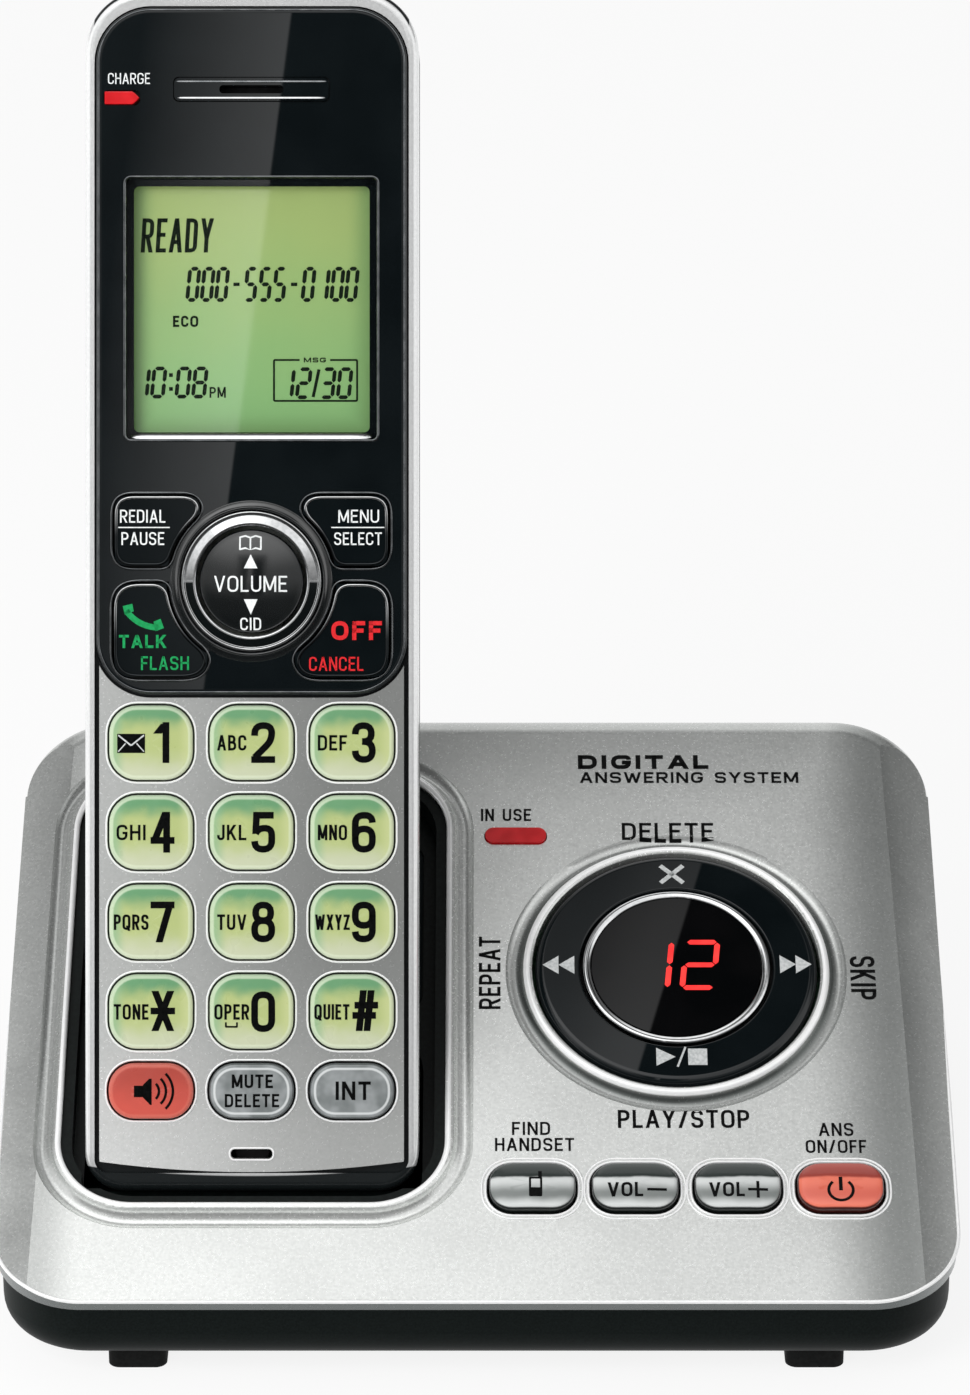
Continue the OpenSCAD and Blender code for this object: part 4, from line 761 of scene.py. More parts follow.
# joined parts as one mesh in its place, with its finish, its body and what it stands for
def makePiece(name, parts, place, finish, body, replaced=(), smooth=True, flat=None, inset=None):
    points, faces = joinParts(parts)
    mesh = bpy.data.meshes.new(name)
    mesh.from_pydata(place(points).tolist(), [], faces)
    mesh.polygons.foreach_set("use_smooth", np.full(len(mesh.polygons), smooth))
    if flat is not None:
        corner = np.zeros(len(mesh.loops), dtype=np.int32)
        mesh.loops.foreach_get("vertex_index", corner)
        mesh.uv_layers.new(name="flat").data.foreach_set("uv", flat[corner].astype(np.float32).ravel())
        mesh.attributes.new("inset", "FLOAT", "POINT").data.foreach_set("value", inset.astype(np.float32))
    mesh.update()
    mesh.materials.append(finishes[finish])
    piece = addObject(name, mesh)
    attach(piece, body)
    if replaced:
        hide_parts(*replaced)
    return piece


# ink: flat shapes of a 0-1 thickness, laid on what carries them
ink = {"lift": 0.04, "sunk": 0.03, "spacing": 0.4, "letterRows": 14, "easing": 0.55}


def inkLayer(z):
    return z * (ink["lift"] + ink["sunk"]) - ink["sunk"]


# a flat outline given a thickness: top, bottom and walls
def prismPart(outline):
    outline = np.asarray(outline, float)
    if np.sum(outline[:, 0] * np.roll(outline[:, 1], -1) - np.roll(outline[:, 0], -1) * outline[:, 1]) < 0:
        outline = outline[::-1]
    count = len(outline)
    low, high = np.arange(count), np.arange(count) + count
    walls = np.stack([low, np.roll(low, -1), np.roll(high, -1), high], -1).tolist()
    points = np.vstack([np.c_[outline, np.zeros(count)], np.c_[outline, np.ones(count)]])
    return points, walls + [high.tolist(), low[::-1].tolist()]


# the space between two matching loops, given a thickness
def bandPart(outer, inner):
    levels = ((outer, 0), (outer, 1), (inner, 1), (inner, 0))
    return gridPart(np.stack([np.c_[loop, np.full(len(loop), z)] for loop, z in levels]), closeRows=True)


# a ribbon along a path, given a thickness: each place moved aside to the left and to the right
def ribbonPart(path, aside, closed=False):
    count = len(path)
    sides = ((path + aside, 0), (path + aside, 1), (path - aside, 1), (path - aside, 0))
    rows = np.stack([np.c_[side, np.full(count, z)] for side, z in sides], 1)
    points, faces = gridPart(rows, closeRows=closed)
    if not closed:
        faces += [[3, 2, 1, 0], [4 * count - 4, 4 * count - 3, 4 * count - 2, 4 * count - 1]]
    return points, faces


# a pen stroke: the path moved aside by half its width, square to its way
def strokePart(path, width, closed=False, spacing=ink["spacing"]):
    path = np.asarray(path, float)
    length = np.linalg.norm(np.diff(path, axis=0), axis=1).sum()
    if len(path) == 2:
        path = evenRun(path, int(length / spacing) + 2)
    ahead = np.roll(path, -1, axis=0) - np.roll(path, 1, axis=0) if closed else np.gradient(path, axis=0)
    aside = np.stack([-ahead[:, 1], ahead[:, 0]], -1) / np.linalg.norm(ahead, axis=1)[:, None]
    return ribbonPart(path, aside * width / 2, closed)


# a solid flat shape as a ribbon of level strips: its left and right edge at each of several heights
def stripPart(heights, left, right):
    heights, left, right = [np.asarray(values, float) for values in (heights, left, right)]
    return ribbonPart(np.c_[(left + right) / 2, heights], np.c_[(left - right) / 2, 0 * heights])


# a box as level strips between two upright edges
def boxPart(x0, y0, x1, y1, spacing=ink["spacing"]):
    heights = np.linspace(y0, y1, int((y1 - y0) / spacing) + 2)
    return stripPart(heights, x0 + 0 * heights, x1 + 0 * heights)


# a run with its corners eased: each corner becomes a curve between two places on its legs
def easedRun(points, radius, steps=8):
    legs = np.diff(points, axis=0)
    lengths = np.linalg.norm(legs, axis=1)
    ways = legs / lengths[:, None]
    room = np.concatenate([lengths[:1], lengths[1:-1] / 2, lengths[-1:]])
    blend = np.linspace(0, 1, steps)[:, None]
    runs = [points[:1]]
    for k in range(1, len(points) - 1):
        cut = min(radius, room[k - 1], room[k])
        before, after = points[k] - cut * ways[k - 1], points[k] + cut * ways[k]
        runs.append((1 - blend) ** 2 * before + 2 * blend * (1 - blend) * points[k] + blend ** 2 * after)
    path = np.vstack(runs + [points[-1:]])
    return path[np.concatenate([[True], np.linalg.norm(np.diff(path, axis=0), axis=1) > 1e-6])]


# letters as strokes in a box one wide and one high: two places are a bar, more an eased run,
# a run back to its start a ring; before them the letter's width
stem, foot, cover = [(0, 0), (0, 1)], [(0, 0), (1, 0)], [(0, 1), (1, 1)]
ring = [(0, 0.5), (0, 0), (1, 0), (1, 1), (0, 1), (0, 0.5)]
bowl = [(0, 1), (1, 1), (1, 0.46), (0, 0.46)]
sixRing = [(0, 0.3), (0, 0), (1, 0), (1, 0.6), (0, 0.6), (0, 0.3)]
sixTail = [(0, 0.3), (0, 1), (1, 1), (1, 0.78)]
glyphs = {
    "A": (1.1, [[(0, 0), (0.5, 1)], [(1, 0), (0.5, 1)], [(0.2, 0.28), (0.8, 0.28)]]),
    "B": (1.0, [stem, [(0, 1), (0.88, 1), (0.88, 0.53), (0, 0.53)], [(0, 0.53), (1, 0.53), (1, 0), (0, 0)]]),
    "C": (1.0, [[(1, 0.7), (1, 1), (0, 1), (0, 0), (1, 0), (1, 0.3)]]),
    "D": (1.0, [stem, [(0, 1), (1, 1), (1, 0), (0, 0)]]),
    "E": (0.85, [stem, cover, [(0, 0.52), (0.88, 0.52)], foot]),
    "F": (0.82, [stem, cover, [(0, 0.5), (0.88, 0.5)]]),
    "G": (1.05, [[(1, 0.74), (1, 1), (0, 1), (0, 0), (1, 0), (1, 0.46)], [(0.55, 0.46), (1, 0.46)]]),
    "H": (1.0, [stem, [(1, 0), (1, 1)], [(0, 0.52), (1, 0.52)]]),
    "I": (0.26, [[(0.5, 0), (0.5, 1)]]),
    "J": (0.78, [[(1, 1), (1, 0), (0, 0), (0, 0.3)]]),
    "K": (1.0, [stem, [(0.05, 0.36), (0.95, 1)], [(0.36, 0.58), (1, 0)]]),
    "L": (0.8, [stem, foot]),
    "M": (1.25, [stem, [(1, 0), (1, 1)], [(0.5, 0.1), (0, 1)], [(0.5, 0.1), (1, 1)]]),
    "N": (1.02, [stem, [(1, 0), (1, 1)], [(1, 0), (0, 1)]]),
    "O": (1.08, [ring]),
    "P": (0.95, [stem, bowl]),
    "Q": (1.08, [ring, [(1.0, -0.06), (0.62, 0.28)]]),
    "R": (1.0, [stem, bowl, [(1, 0), (0.5, 0.46)]]),
    "S": (0.98, [[(1, 0.76), (1, 1), (0, 1), (0, 0.54), (1, 0.48), (1, 0), (0, 0), (0, 0.24)]]),
    "T": (0.95, [cover, [(0.5, 0), (0.5, 1)]]),
    "U": (1.0, [[(0, 1), (0, 0), (1, 0), (1, 1)]]),
    "V": (1.1, [[(0.5, 0), (0, 1)], [(0.5, 0), (1, 1)]]),
    "W": (1.5, [[(0.25, 0), (0, 1)], [(0.25, 0), (0.5, 0.9)], [(0.75, 0), (0.5, 0.9)], [(0.75, 0), (1, 1)]]),
    "X": (1.05, [[(0, 0), (1, 1)], [(1, 0), (0, 1)]]),
    "Y": (1.05, [[(0.5, 0.42), (0, 1)], [(0.5, 0.42), (1, 1)], [(0.5, 0), (0.5, 0.5)]]),
    "Z": (0.95, [cover, foot, [(0.04, 0.08), (0.96, 0.92)]]),
    "0": (0.9, [ring]),
    "1": (0.5, [[(1, 0), (1, 1)], [(0, 0.72), (0.9, 0.96)]]),
    "2": (0.9, [[(0, 0.7), (0, 1), (1, 1), (1, 0.56), (0, 0.06)], foot]),
    "3": (0.9, [[(0, 0.74), (0, 1), (0.94, 1), (0.94, 0.53), (0.4, 0.53)],
                [(0.4, 0.53), (1, 0.53), (1, 0), (0, 0), (0, 0.26)]]),
    "4": (0.95, [[(0.74, 0), (0.74, 1)], [(0, 0.26), (1, 0.26)], [(0.04, 0.3), (0.7, 1)]]),
    "5": (0.9, [[(0.1, 1), (0.94, 1)], [(0.06, 0.46), (0.12, 1)],
                [(0.06, 0.46), (0.2, 0.62), (1, 0.62), (1, 0), (0, 0), (0, 0.24)]]),
    "6": (0.9, [sixRing, sixTail]),
    "7": (0.88, [cover, [(0.3, 0), (0.95, 0.95)]]),
    "8": (0.92, [[(0.06, 0.77), (0.06, 0.54), (0.94, 0.54), (0.94, 1), (0.06, 1), (0.06, 0.77)],
                 [(0, 0.27), (0, 0), (1, 0), (1, 0.54), (0, 0.54), (0, 0.27)]]),
    "9": (0.9, [[(1 - x, 1 - y) for x, y in run] for run in (sixRing, sixTail)]),
    "#": (1.0, [[(0.2, 0), (0.42, 1)], [(0.6, 0), (0.82, 1)], [(0.02, 0.36), (0.92, 0.36)],
                [(0.1, 0.66), (1, 0.66)]]),
    "*": (1.0, [[(0.06, 0), (0.94, 1)], [(0.94, 0), (0.06, 1)], [(0, 0.5), (1, 0.5)]]),
    "/": (0.78, [[(0, 0), (1, 1)]]),
    " ": (0.55, [])}


# one stroke in its letter's box: upright and slanting bars end level at the box, level bars end at its sides
def letterStroke(stroke, box, t):
    x0, y0, x1, y1 = box
    run = np.array(stroke, float)
    full = np.array([x0, y0]) + run * np.array([x1 - x0, y1 - y0])
    inner = np.array([x0 + t / 2, y0 + t / 2]) + run * np.array([x1 - x0 - t, y1 - y0 - t])
    spacing = min(ink["spacing"], (y1 - y0) / ink["letterRows"])
    if len(run) == 2:
        level = run[0, 1] == run[1, 1]
        ends = np.c_[full[:, 0], inner[:, 1]] if level else np.c_[inner[:, 0], full[:, 1]]
        length = np.linalg.norm(ends[1] - ends[0])
        aside = (0, t / 2) if level else (-t / 2 * length / max(abs(ends[1, 1] - ends[0, 1]), 1e-6), 0)
        return ribbonPart(evenRun(ends, int(length / spacing) + 2), np.array([aside]))
    for end, beside in ((0, 1), (-1, -2)):
        if run[end, 0] == run[beside, 0] and run[end, 1] in (0, 1):
            inner[end, 1] = full[end, 1]
    path = easedRun(inner, ink["easing"] * (x1 - x0 - t))
    length = np.linalg.norm(np.diff(path, axis=0), axis=1).sum()
    closed = stroke[0] == stroke[-1]
    path = evenRun(path, int(length / spacing) + 3)
    return strokePart(path[:-1] if closed else path, t, closed)


# a word drawn to fill its box; weight is the stroke's share of the height, lean a slant
def wordPart(text, box, weight=0.16, lean=0.0, gap=0.24):
    x0, y0, x1, y1 = box
    widths = np.array([glyphs[letter][0] for letter in text])
    unit = (x1 - x0) / (widths.sum() + gap * (len(text) - 1))
    starts = x0 + unit * (np.cumsum(widths + gap) - widths - gap)
    parts = []
    for letter, start, width in zip(text, starts, widths * unit):
        for stroke in glyphs[letter][1]:
            parts.append(letterStroke(stroke, (start, y0, start + width, y1), weight * (y1 - y0)))
    points, faces = joinParts(parts)
    points[:, 0] += lean * (points[:, 1] - (y0 + y1) / 2)
    return points, faces


# part of a circle: centre + radius (cos a, sin a)
def arcPath(centre, radius, start, end, steps=24):
    turn = np.radians(np.linspace(start, end, steps))
    return np.stack([centre[0] + radius * np.cos(turn), centre[1] + radius * np.sin(turn)], -1)


# parts turned about the origin, then moved
def moved(parts, x, y, turn=0.0):
    c, s = math.cos(math.radians(turn)), math.sin(math.radians(turn))
    spin = np.array([[c, s, 0], [-s, c, 0], [0, 0, 1.0]])
    return [(points @ spin + np.array([x, y, 0]), faces) for points, faces in parts]


# ink: flat parts lifted, place by place, to the height of what carries them
def printOn(name, parts, place, height, finish, body):
    points, faces = joinParts(parts)
    lift = height(points[:, 0], points[:, 1]) if callable(height) else height
    laid = np.c_[points[:, :2], lift + inkLayer(points[:, 2])]
    return makePiece(name, [(laid, faces)], place, finish, body, smooth=False)


# a key's own place: shapes about its middle, moved there
def seatOn(place, x, y):
    def seat(p):
        return place(p + np.array([x, y, 0]))
    return seat


# key cap: a wall, a rounded edge, then rings drawn in to the middle of a crowned top
# height = top - (x2 + y2) / (2 crown), less a step behind a line where a key has a back slope
def capHeight(cap):
    def height(x, y):
        drop = (x * x + y * y) / (2 * cap["crown"])
        if "slope" in cap:
            drop = drop + cap["slope"] * np.clip((y - cap["slopeAt"]) / cap["slopeRun"], 0, 1)
        return cap["top"] - drop
    return height


def capPart(cap):
    centres, ways = roundedFrame(cap["w"], cap["l"], cap["r"])
    inset = np.concatenate([[0.0], edgeRound(cap["edge"], 0)[:, 0],
                            np.linspace(cap["edge"], cap["r"], 6)[1:]])
    under = np.concatenate([[0.0], edgeRound(cap["edge"], 0)[:, 1], np.zeros(5)])
    rings = centres[None] + (cap["r"] - inset)[:, None, None] * ways[None]
    inner = centres[None] * np.linspace(1, 0, 7)[1:-1, None, None]
    flat = np.concatenate([rings, inner])
    height = capHeight(cap)(flat[..., 0], flat[..., 1])
    height[:len(under)] += under[:, None]
    height[0] = cap["low"]
    points, faces = gridPart(np.concatenate([flat, height[..., None]], -1), firstPole=True, lastPole=True)
    depth = np.repeat(np.concatenate([inset, np.full(len(inner), cap["r"])]), len(centres))
    return points, faces, np.concatenate([depth, [0.0, cap["r"]]])


def makeCap(name, cap, seat, finish):
    points, faces, inset = capPart(cap)
    flat = points[:, :2] / np.array([cap["w"], cap["l"]]) + 0.5
    return makePiece(name + "_cap", [(points, faces)], seat, finish, name, (name,), True, flat, inset)


# number keys: digit to the right of the middle, letters to the left
numberCap = {"w": 12.0, "l": 10.7, "r": 4.0, "low": -1.2, "top": 1.15, "edge": 0.55, "crown": 60.0}
keypad = {"pitchX": 14.45, "pitchW": 12.88, "first": 25.9, "digit": (0.0, -2.9, 3.42, 2.95),
          "digitWeight": 0.165,
          "odd": {"1": (0.5, -2.9, 2.68, 2.95), "*": (0.0, -2.75, 3.5, 3.0), "#": (0.0, -2.75, 3.75, 3.1)},
          "letters": (-1.12, 1.1), "reach": {3: (-4.9, -0.7), 4: (-5.3, -0.3), 5: (-5.4, -0.35)}}
keyLetters = {"1": "", "2": "ABC", "3": "DEF", "4": "GHI", "5": "JKL", "6": "MNO", "7": "PQRS", "8": "TUV",
              "9": "WXYZ", "*": "TONE", "0": "OPER", "#": "QUIET"}
signNames = {"*": "star", "#": "hash"}
envelope = {"x": -2.8, "y": -0.1, "halfX": 2.0, "halfY": 1.38, "insetX": 0.15, "insetY": 0.2, "lift": 0.5,
            "flap": -0.3, "flapLine": 0.22, "seam": 0.8, "seamLine": 0.16, "spacing": 0.25}
# low row: red speaker key, two smoked keys
lowCap = {"w": 12.2, "l": 8.0, "r": 3.7, "low": -1.2, "top": 1.1, "edge": 0.6, "crown": 60.0}
lowRow = {"at": 14.5, "keys": (("key_speaker", "red", "red_key"), ("key_mute", "smoke", "smoke_key"),
                               ("key_intercom", "smoke", "smoke_key"))}


# the keypad counts from its top left, three to a row; the last row is the low one
def keySpot(place):
    w = keypad["first"] + (3 - place // 3) * keypad["pitchW"] if place < 12 else lowRow["at"]
    return (place % 3 - 1) * keypad["pitchX"], w


# two lines of the flap down to its point, two seams up from the lower corners
def envelopeFolds():
    reachX, reachY = envelope["halfX"] - envelope["insetX"], envelope["halfY"] - envelope["insetY"]
    folds = []
    for side in (-1, 1):
        flap = [(side * reachX, reachY), (0, envelope["flap"])]
        seam = [(side * reachX, -reachY), (side * envelope["seam"], 0.0)]
        folds.append(strokePart(flap, envelope["flapLine"], spacing=envelope["spacing"]))
        folds.append(strokePart(seam, envelope["seamLine"], spacing=envelope["spacing"]))
    lift = np.array([0, 0, envelope["lift"]])
    return moved([(p + lift, f) for p, f in folds], envelope["x"], envelope["y"])


for place, (digit, word) in enumerate(keyLetters.items()):
    name = "key_" + signNames.get(digit, digit)
    seat = seatOn(onHandset, *keySpot(place))
    makeCap(name, numberCap, seat, "lit")
    legend = [wordPart(digit, keypad["odd"].get(digit, keypad["digit"]), keypad["digitWeight"])]
    if word:
        left, right = keypad["reach"][len(word)]
        legend.append(wordPart(word, (left, keypad["letters"][0], right, keypad["letters"][1])))
    else:
        legend.append(boxPart(envelope["x"] - envelope["halfX"], envelope["y"] - envelope["halfY"],
                              envelope["x"] + envelope["halfX"], envelope["y"] + envelope["halfY"],
                              envelope["spacing"]))
        printOn(name + "_folds", envelopeFolds(), seat, capHeight(numberCap), "greyInk", name)
    if digit == "0":
        tray = np.array([(-3.65, -1.5), (-3.65, -2.15), (-2.05, -2.15), (-2.05, -1.5)])
        legend.append(strokePart(easedRun(tray, 0.05), 0.26))
    printOn(name + "_legend", legend, seat, capHeight(numberCap), "blackInk", name)
print("number keys made")


# a horn that widens evenly, the box behind it and three arcs
def speakerIcon():
    heights = np.linspace(-1.95, 1.8, 14)
    horn = stripPart(heights, np.clip(np.abs(heights) - 2.0, -1.2, -0.1), 0.15 + 0 * heights)
    box = boxPart(-2.4, -0.85, -1.1, 0.8)
    waves = [strokePart(arcPath((-0.3, 0), radius, -46, 46), 0.36) for radius in (1.5, 2.5, 3.5)]
    return [horn, box] + waves


lowLegends = (speakerIcon(), [wordPart("MUTE", (-2.8, 0.45, 3.1, 2.4), 0.18),
                              wordPart("DELETE", (-3.8, -2.3, 4.0, -0.4), 0.17)],
              [wordPart("INT", (-2.35, -1.25, 2.7, 1.4), 0.17)])
for place, (name, finish, slot) in enumerate(lowRow["keys"]):
    seat = seatOn(onHandset, *keySpot(12 + place))
    makeCap(name, lowCap, seat, finish)
    printOn(name + "_legend", lowLegends[place], seat, capHeight(lowCap), "blackInk", name)
print("low row made")

# cut edges round every opening of the keypad plate, and round the microphone slot, near white as a painted
# highlight
plateEdge = {"grow": 0.42, "radius": 0.16, "height": 0.03}
micSlot = {"w": 6.3, "l": 1.7, "r": 0.7, "place": (0, 5.4), "radius": 0.15}
edges = []
for place in range(15):
    loop = grownLoop(numberCap if place < 12 else lowCap, plateEdge["grow"], keySpot(place))
    edges.append(beadPart(loop, plateEdge["radius"], plateEdge["height"]))
edges.append(beadPart(grownLoop(micSlot, 0, micSlot["place"]), micSlot["radius"], plateEdge["height"]))
makePiece("plate_edges", edges, onHandset, "edge", "handset")


# the mask's edge: a fine grey line along its rounded rim, a painted highlight, height = mask - r + sqrt(r2 -
# (r - inset)2)
mask = {"w": 44.9, "l": 99.0, "r": 8.0, "at": 120.8, "top": 0.6, "rim": 0.9, "inset": 0.5, "line": 0.16,
        "sunk": 0.04}
rimDrop = mask["rim"] - math.sqrt(mask["rim"] ** 2 - (mask["rim"] - mask["inset"]) ** 2)
rimLoop = grownLoop(mask, -mask["inset"], (0, mask["at"]), 16, 24)
rimLine = beadPart(rimLoop, mask["line"], mask["top"] - rimDrop - mask["sunk"])
makePiece("mask_rim", [rimLine], onHandset, "hair", "handset")

# four-way rocker: a dark collar, a plated ring that falls away to a bead at its foot, a crowned button
navRing = {"at": 87.75, "mask": 0.6, "collar": 1.3, "collarOuter": 11.6, "collarFoot": 0.3,
           "collarInner": ((10.42, 0.98), (10.3, 0.8), (10.22, 0.3)),
           "profile": ((10.1, -1.4), (10.1, 0.72), (10.04, 0.86), (9.92, 0.95), (9.78, 0.95), (9.66, 0.86),
                       (9.6, 0.72), (9.5, 0.62), (9.42, 0.66), (9.4, 0.67), (9.35, 0.693), (8.45, 1.117),
                       (8.41, 1.135), (8.38, 1.15), (8.3, 1.16), (8.12, 1.12), (8.0, 0.98), (7.95, 0.8),
                       (7.95, -1.4))}
navPlace = (0, navRing["at"])
plateRing = turnedPart(np.array(navRing["profile"]), navPlace, 128, closeRows=True)
makePiece("nav_plated_ring", [plateRing], onHandset, "ring", "handset", ("nav_ring",))
bend = np.radians(np.linspace(0, 50, 9))
collar = np.c_[navRing["collarOuter"] - navRing["collar"] * np.sin(bend),
               navRing["mask"] + navRing["collar"] * (1 - np.cos(bend))]
collar = np.vstack([[(navRing["collarOuter"], navRing["collarFoot"])], collar, navRing["collarInner"]])
makePiece("nav_collar", [turnedPart(collar, navPlace, 128, closeRows=True)], onHandset, "button", "handset")
rocker = {"radius": 7.45, "crown": 22.0, "top": 1.5, "edge": 0.35, "low": -2.0}


# the button's crown is part of a ball: height = top - R + sqrt(R2 - x2 - y2)
def rockerHeight(x, y):
    return rocker["top"] - rocker["crown"] + np.sqrt(rocker["crown"] ** 2 - x * x - (y - navRing["at"]) ** 2)


spread = np.linspace(rocker["radius"] - rocker["edge"], 0.4, 14)
crownRows = np.stack([spread, rockerHeight(spread, navRing["at"])], -1)
crownEdge = edgeRound(rocker["edge"], crownRows[0, 1])
rockerProfile = np.vstack([[(rocker["radius"], rocker["low"])],
                           np.c_[rocker["radius"] - crownEdge[:, 0], crownEdge[:, 1]], crownRows[1:]])
button = turnedPart(rockerProfile, navPlace, 96, lastPole=True)
makePiece("nav_button", [button], onHandset, "button", "rocker", ("nav_rocker",))


# a solid triangle: its half width falls evenly to nothing at its point
def triangle(x, y, half, height):
    heights = np.linspace(y, y + height, 9)
    if height < 0:
        heights = heights[::-1]
    reach = half * (1 - (heights - y) / height)
    return stripPart(heights, x - reach, x + reach)


# an open book: two pages that dip to the spine
pages = []
for way in (-1, 1):
    page = np.array([(0, 92.25), (way * 0.75, 92.5), (way * 1.5, 92.3),
                     (way * 1.5, 94.05), (way * 0.75, 94.25), (0, 94.0)])
    pages.append(strokePart(easedRun(np.vstack([page, page[:1]]), 0.05)[:-1], 0.24, closed=True))
printOn("nav_legend", moved(pages, -0.13, 0) + [
    triangle(-0.07, 89.57, 0.98, 2.02), triangle(-0.07, 85.14, 0.98, -2.2),
    wordPart("VOLUME", (-5.33, 86.2, 5.15, 88.5), 0.115), wordPart("CID", (-1.6, 80.7, 1.4, 82.5), 0.13)],
    onHandset, rockerHeight, "whiteInk", "rocker")
print("rocker made")

# function keys: hairlines along their rounded edge, cut back round the rocker
softKeys = {"x": (13.5, 13.0), "y": (7.2, -7.1), "w": (12.2, 13.4), "l": (10.0, 13.4), "r": (1.6, 2.4),
            "ring": 12.2, "top": 0.9, "smooth": 13, "bead": 0.22, "surround": 0.18, "clear": 0.03,
            "lineGrow": -0.2, "surroundGrow": 0.5}


# a rounded outline, pushed out to the rocker's clear circle where it comes nearer, then smoothed
def softLoop(place, grow):
    pair, side = place // 2, (-1, 1)[place % 2]
    key = {size: softKeys[size][pair] for size in "wlr"}
    loop = evenLoop(grownLoop(key, grow, (side * softKeys["x"][pair], softKeys["y"][pair])), 400)
    reach = np.linalg.norm(loop, axis=1)[:, None]
    clear = softKeys["ring"] - grow
    loop = evenLoop(np.where(reach < clear, loop * clear / reach, loop), 160)
    width = softKeys["smooth"]
    padded = np.vstack([loop[-(width // 2):], loop, loop[:width // 2]])
    flat = np.stack([np.convolve(padded[:, k], np.ones(width) / width, "valid") for k in range(2)], -1)
    return flat + np.array(navPlace)


bow = np.linspace(-2.6, 2.6, 18)
handsetIcon = [strokePart(np.c_[bow, 0.09 * bow ** 2 - 0.75], 0.85)]
handsetIcon += [prismPart([(way * 3.35, 0.2), (way * 2.3, 1.15), (way * 1.6, 0.3), (way * 2.5, -0.75)])
                for way in (-1, 1)]
softWords = {
    "key_redial": ("whiteInk", [wordPart("REDIAL", (-18.85, 96.13, -12.35, 98.0), 0.12),
                                strokePart([(-19.1, 95.45), (-11.7, 95.45)], 0.16),
                                wordPart("PAUSE", (-18.65, 92.93, -12.5, 94.78), 0.12)]),
    "key_menu": ("whiteInk", [wordPart("MENU", (12.5, 96.13, 18.35, 98.0), 0.12),
                              strokePart([(11.5, 95.45), (19.1, 95.45)], 0.16),
                              wordPart("SELECT", (11.9, 92.93, 18.75, 94.75), 0.12)]),
    "key_talk": ("greenInk", moved(handsetIcon, -15.6, 82.4, -28) + [
        wordPart("TALK", (-19.0, 78.14, -12.2, 80.03), 0.2),
        wordPart("FLASH", (-15.84, 74.98, -8.95, 76.95), 0.14)]),
    "key_off": ("redInk", [wordPart("OFF", (11.5, 79.29, 18.75, 82.0), 0.22),
                           wordPart("CANCEL", (8.3, 74.86, 16.1, 76.87), 0.125)])}
for place, (name, (finish, words)) in enumerate(softWords.items()):
    hairline = beadPart(softLoop(place, softKeys["lineGrow"]), softKeys["bead"], softKeys["top"])
    makePiece(name + "_hairline", [hairline], onHandset, "keyLine", name)
    # a grey line round each key's groove, a painted highlight on its bevel
    surround = beadPart(softLoop(place, softKeys["surroundGrow"]), softKeys["surround"], navRing["mask"])
    makePiece(name + "_surround", [surround], onHandset, "hair", "handset")
    printOn(name + "_legend", words, onHandset, softKeys["top"] + softKeys["clear"], finish, name)
print("function keys made")

# display: hairline frame, brighter lower lip, and what the liquid crystal shows
display = {"w": 35.9, "low": 108.2, "high": 145.6, "corner": 0.9, "grow": 0.5, "bead": 0.2, "sunk": 0.02,
           "screen": -3.0}
middle = np.array([0, (display["low"] + display["high"]) / 2])
frameLoop = roundedLoop(display["w"] + display["grow"], display["high"] - display["low"] + display["grow"],
                        display["corner"]) + middle
hairline = beadPart(frameLoop, display["bead"], navRing["mask"] - display["sunk"])
makePiece("display_hairline", [hairline], onHandset, "hair", "handset")


# a level bar across the handset, drawn in at both ends: its face leans up to the light, its foot is rounded
# section = upper edge at the carrier, a slope out to the lower edge, then back
def levelBar(half, w, radius, height, rise):
    station = np.linspace(-half, half, 41)[:, None]
    taper = np.sqrt(np.clip(1 - (np.abs(station) / half) ** 24, 0.002, 1))
    section = np.array([(1.0, -0.5), (1.0, 0.0), (0.97, 0.1), (-0.62, 0.86), (-0.7, 0.9),
                        (-0.86, 0.92), (-0.97, 0.8), (-1.0, 0.6), (-1.0, -0.5)])
    rows = np.stack([station + 0 * section[:, 0], w + radius * taper * section[:, 0],
                     height + rise * taper * section[:, 1]], -1)
    return gridPart(rows, firstPole=True, lastPole=True)


# the display's lip; above and below the earpiece slot a dim line and a bright one
levelBars = {"display_lip": ("chrome", 17.5, 108.55, 0.5, 0.34, 0.46),
             "earpiece_line_upper": ("hair", 11.1, 159.6, 0.22, 0.72, 0.2),
             "earpiece_line_lower": ("chrome", 10.8, 157.25, 0.25, 0.72, 0.24)}
for name, (finish, *sizes) in levelBars.items():
    makePiece(name, [levelBar(*sizes)], onHandset, finish, "handset")

# strokes of a number display: each digit lights some of seven bars, which end in points
litBars = {"0": "abcdef", "1": "bc", "2": "abged", "3": "abgcd", "5": "afgcd", "8": "abcdefg"}
barEnds = {"a": ((-1, 1), (1, 1)), "b": ((1, 1), (1, 0)), "c": ((1, 0), (1, -1)), "d": ((-1, -1), (1, -1)),
           "e": ((-1, 0), (-1, -1)), "f": ((-1, 1), (-1, 0)), "g": ((-1, 0), (1, 0))}
barShape = {"tip": 0.15, "neck": 0.65, "lean": 0.1}


def barDigit(figure, w, l, t):
    parts = []
    for bar in litBars[figure]:
        start, end = np.array(barEnds[bar]) * np.array([w / 2, l / 2])
        way = (end - start) / np.linalg.norm(end - start) * t
        aside, tip, neck = np.array([-way[1], way[0]]) / 2, way * barShape["tip"], way * barShape["neck"]
        parts.append(prismPart([start + tip, start + neck + aside, end - neck + aside, end - tip,
                                end - neck - aside, start + neck - aside]))
    return parts


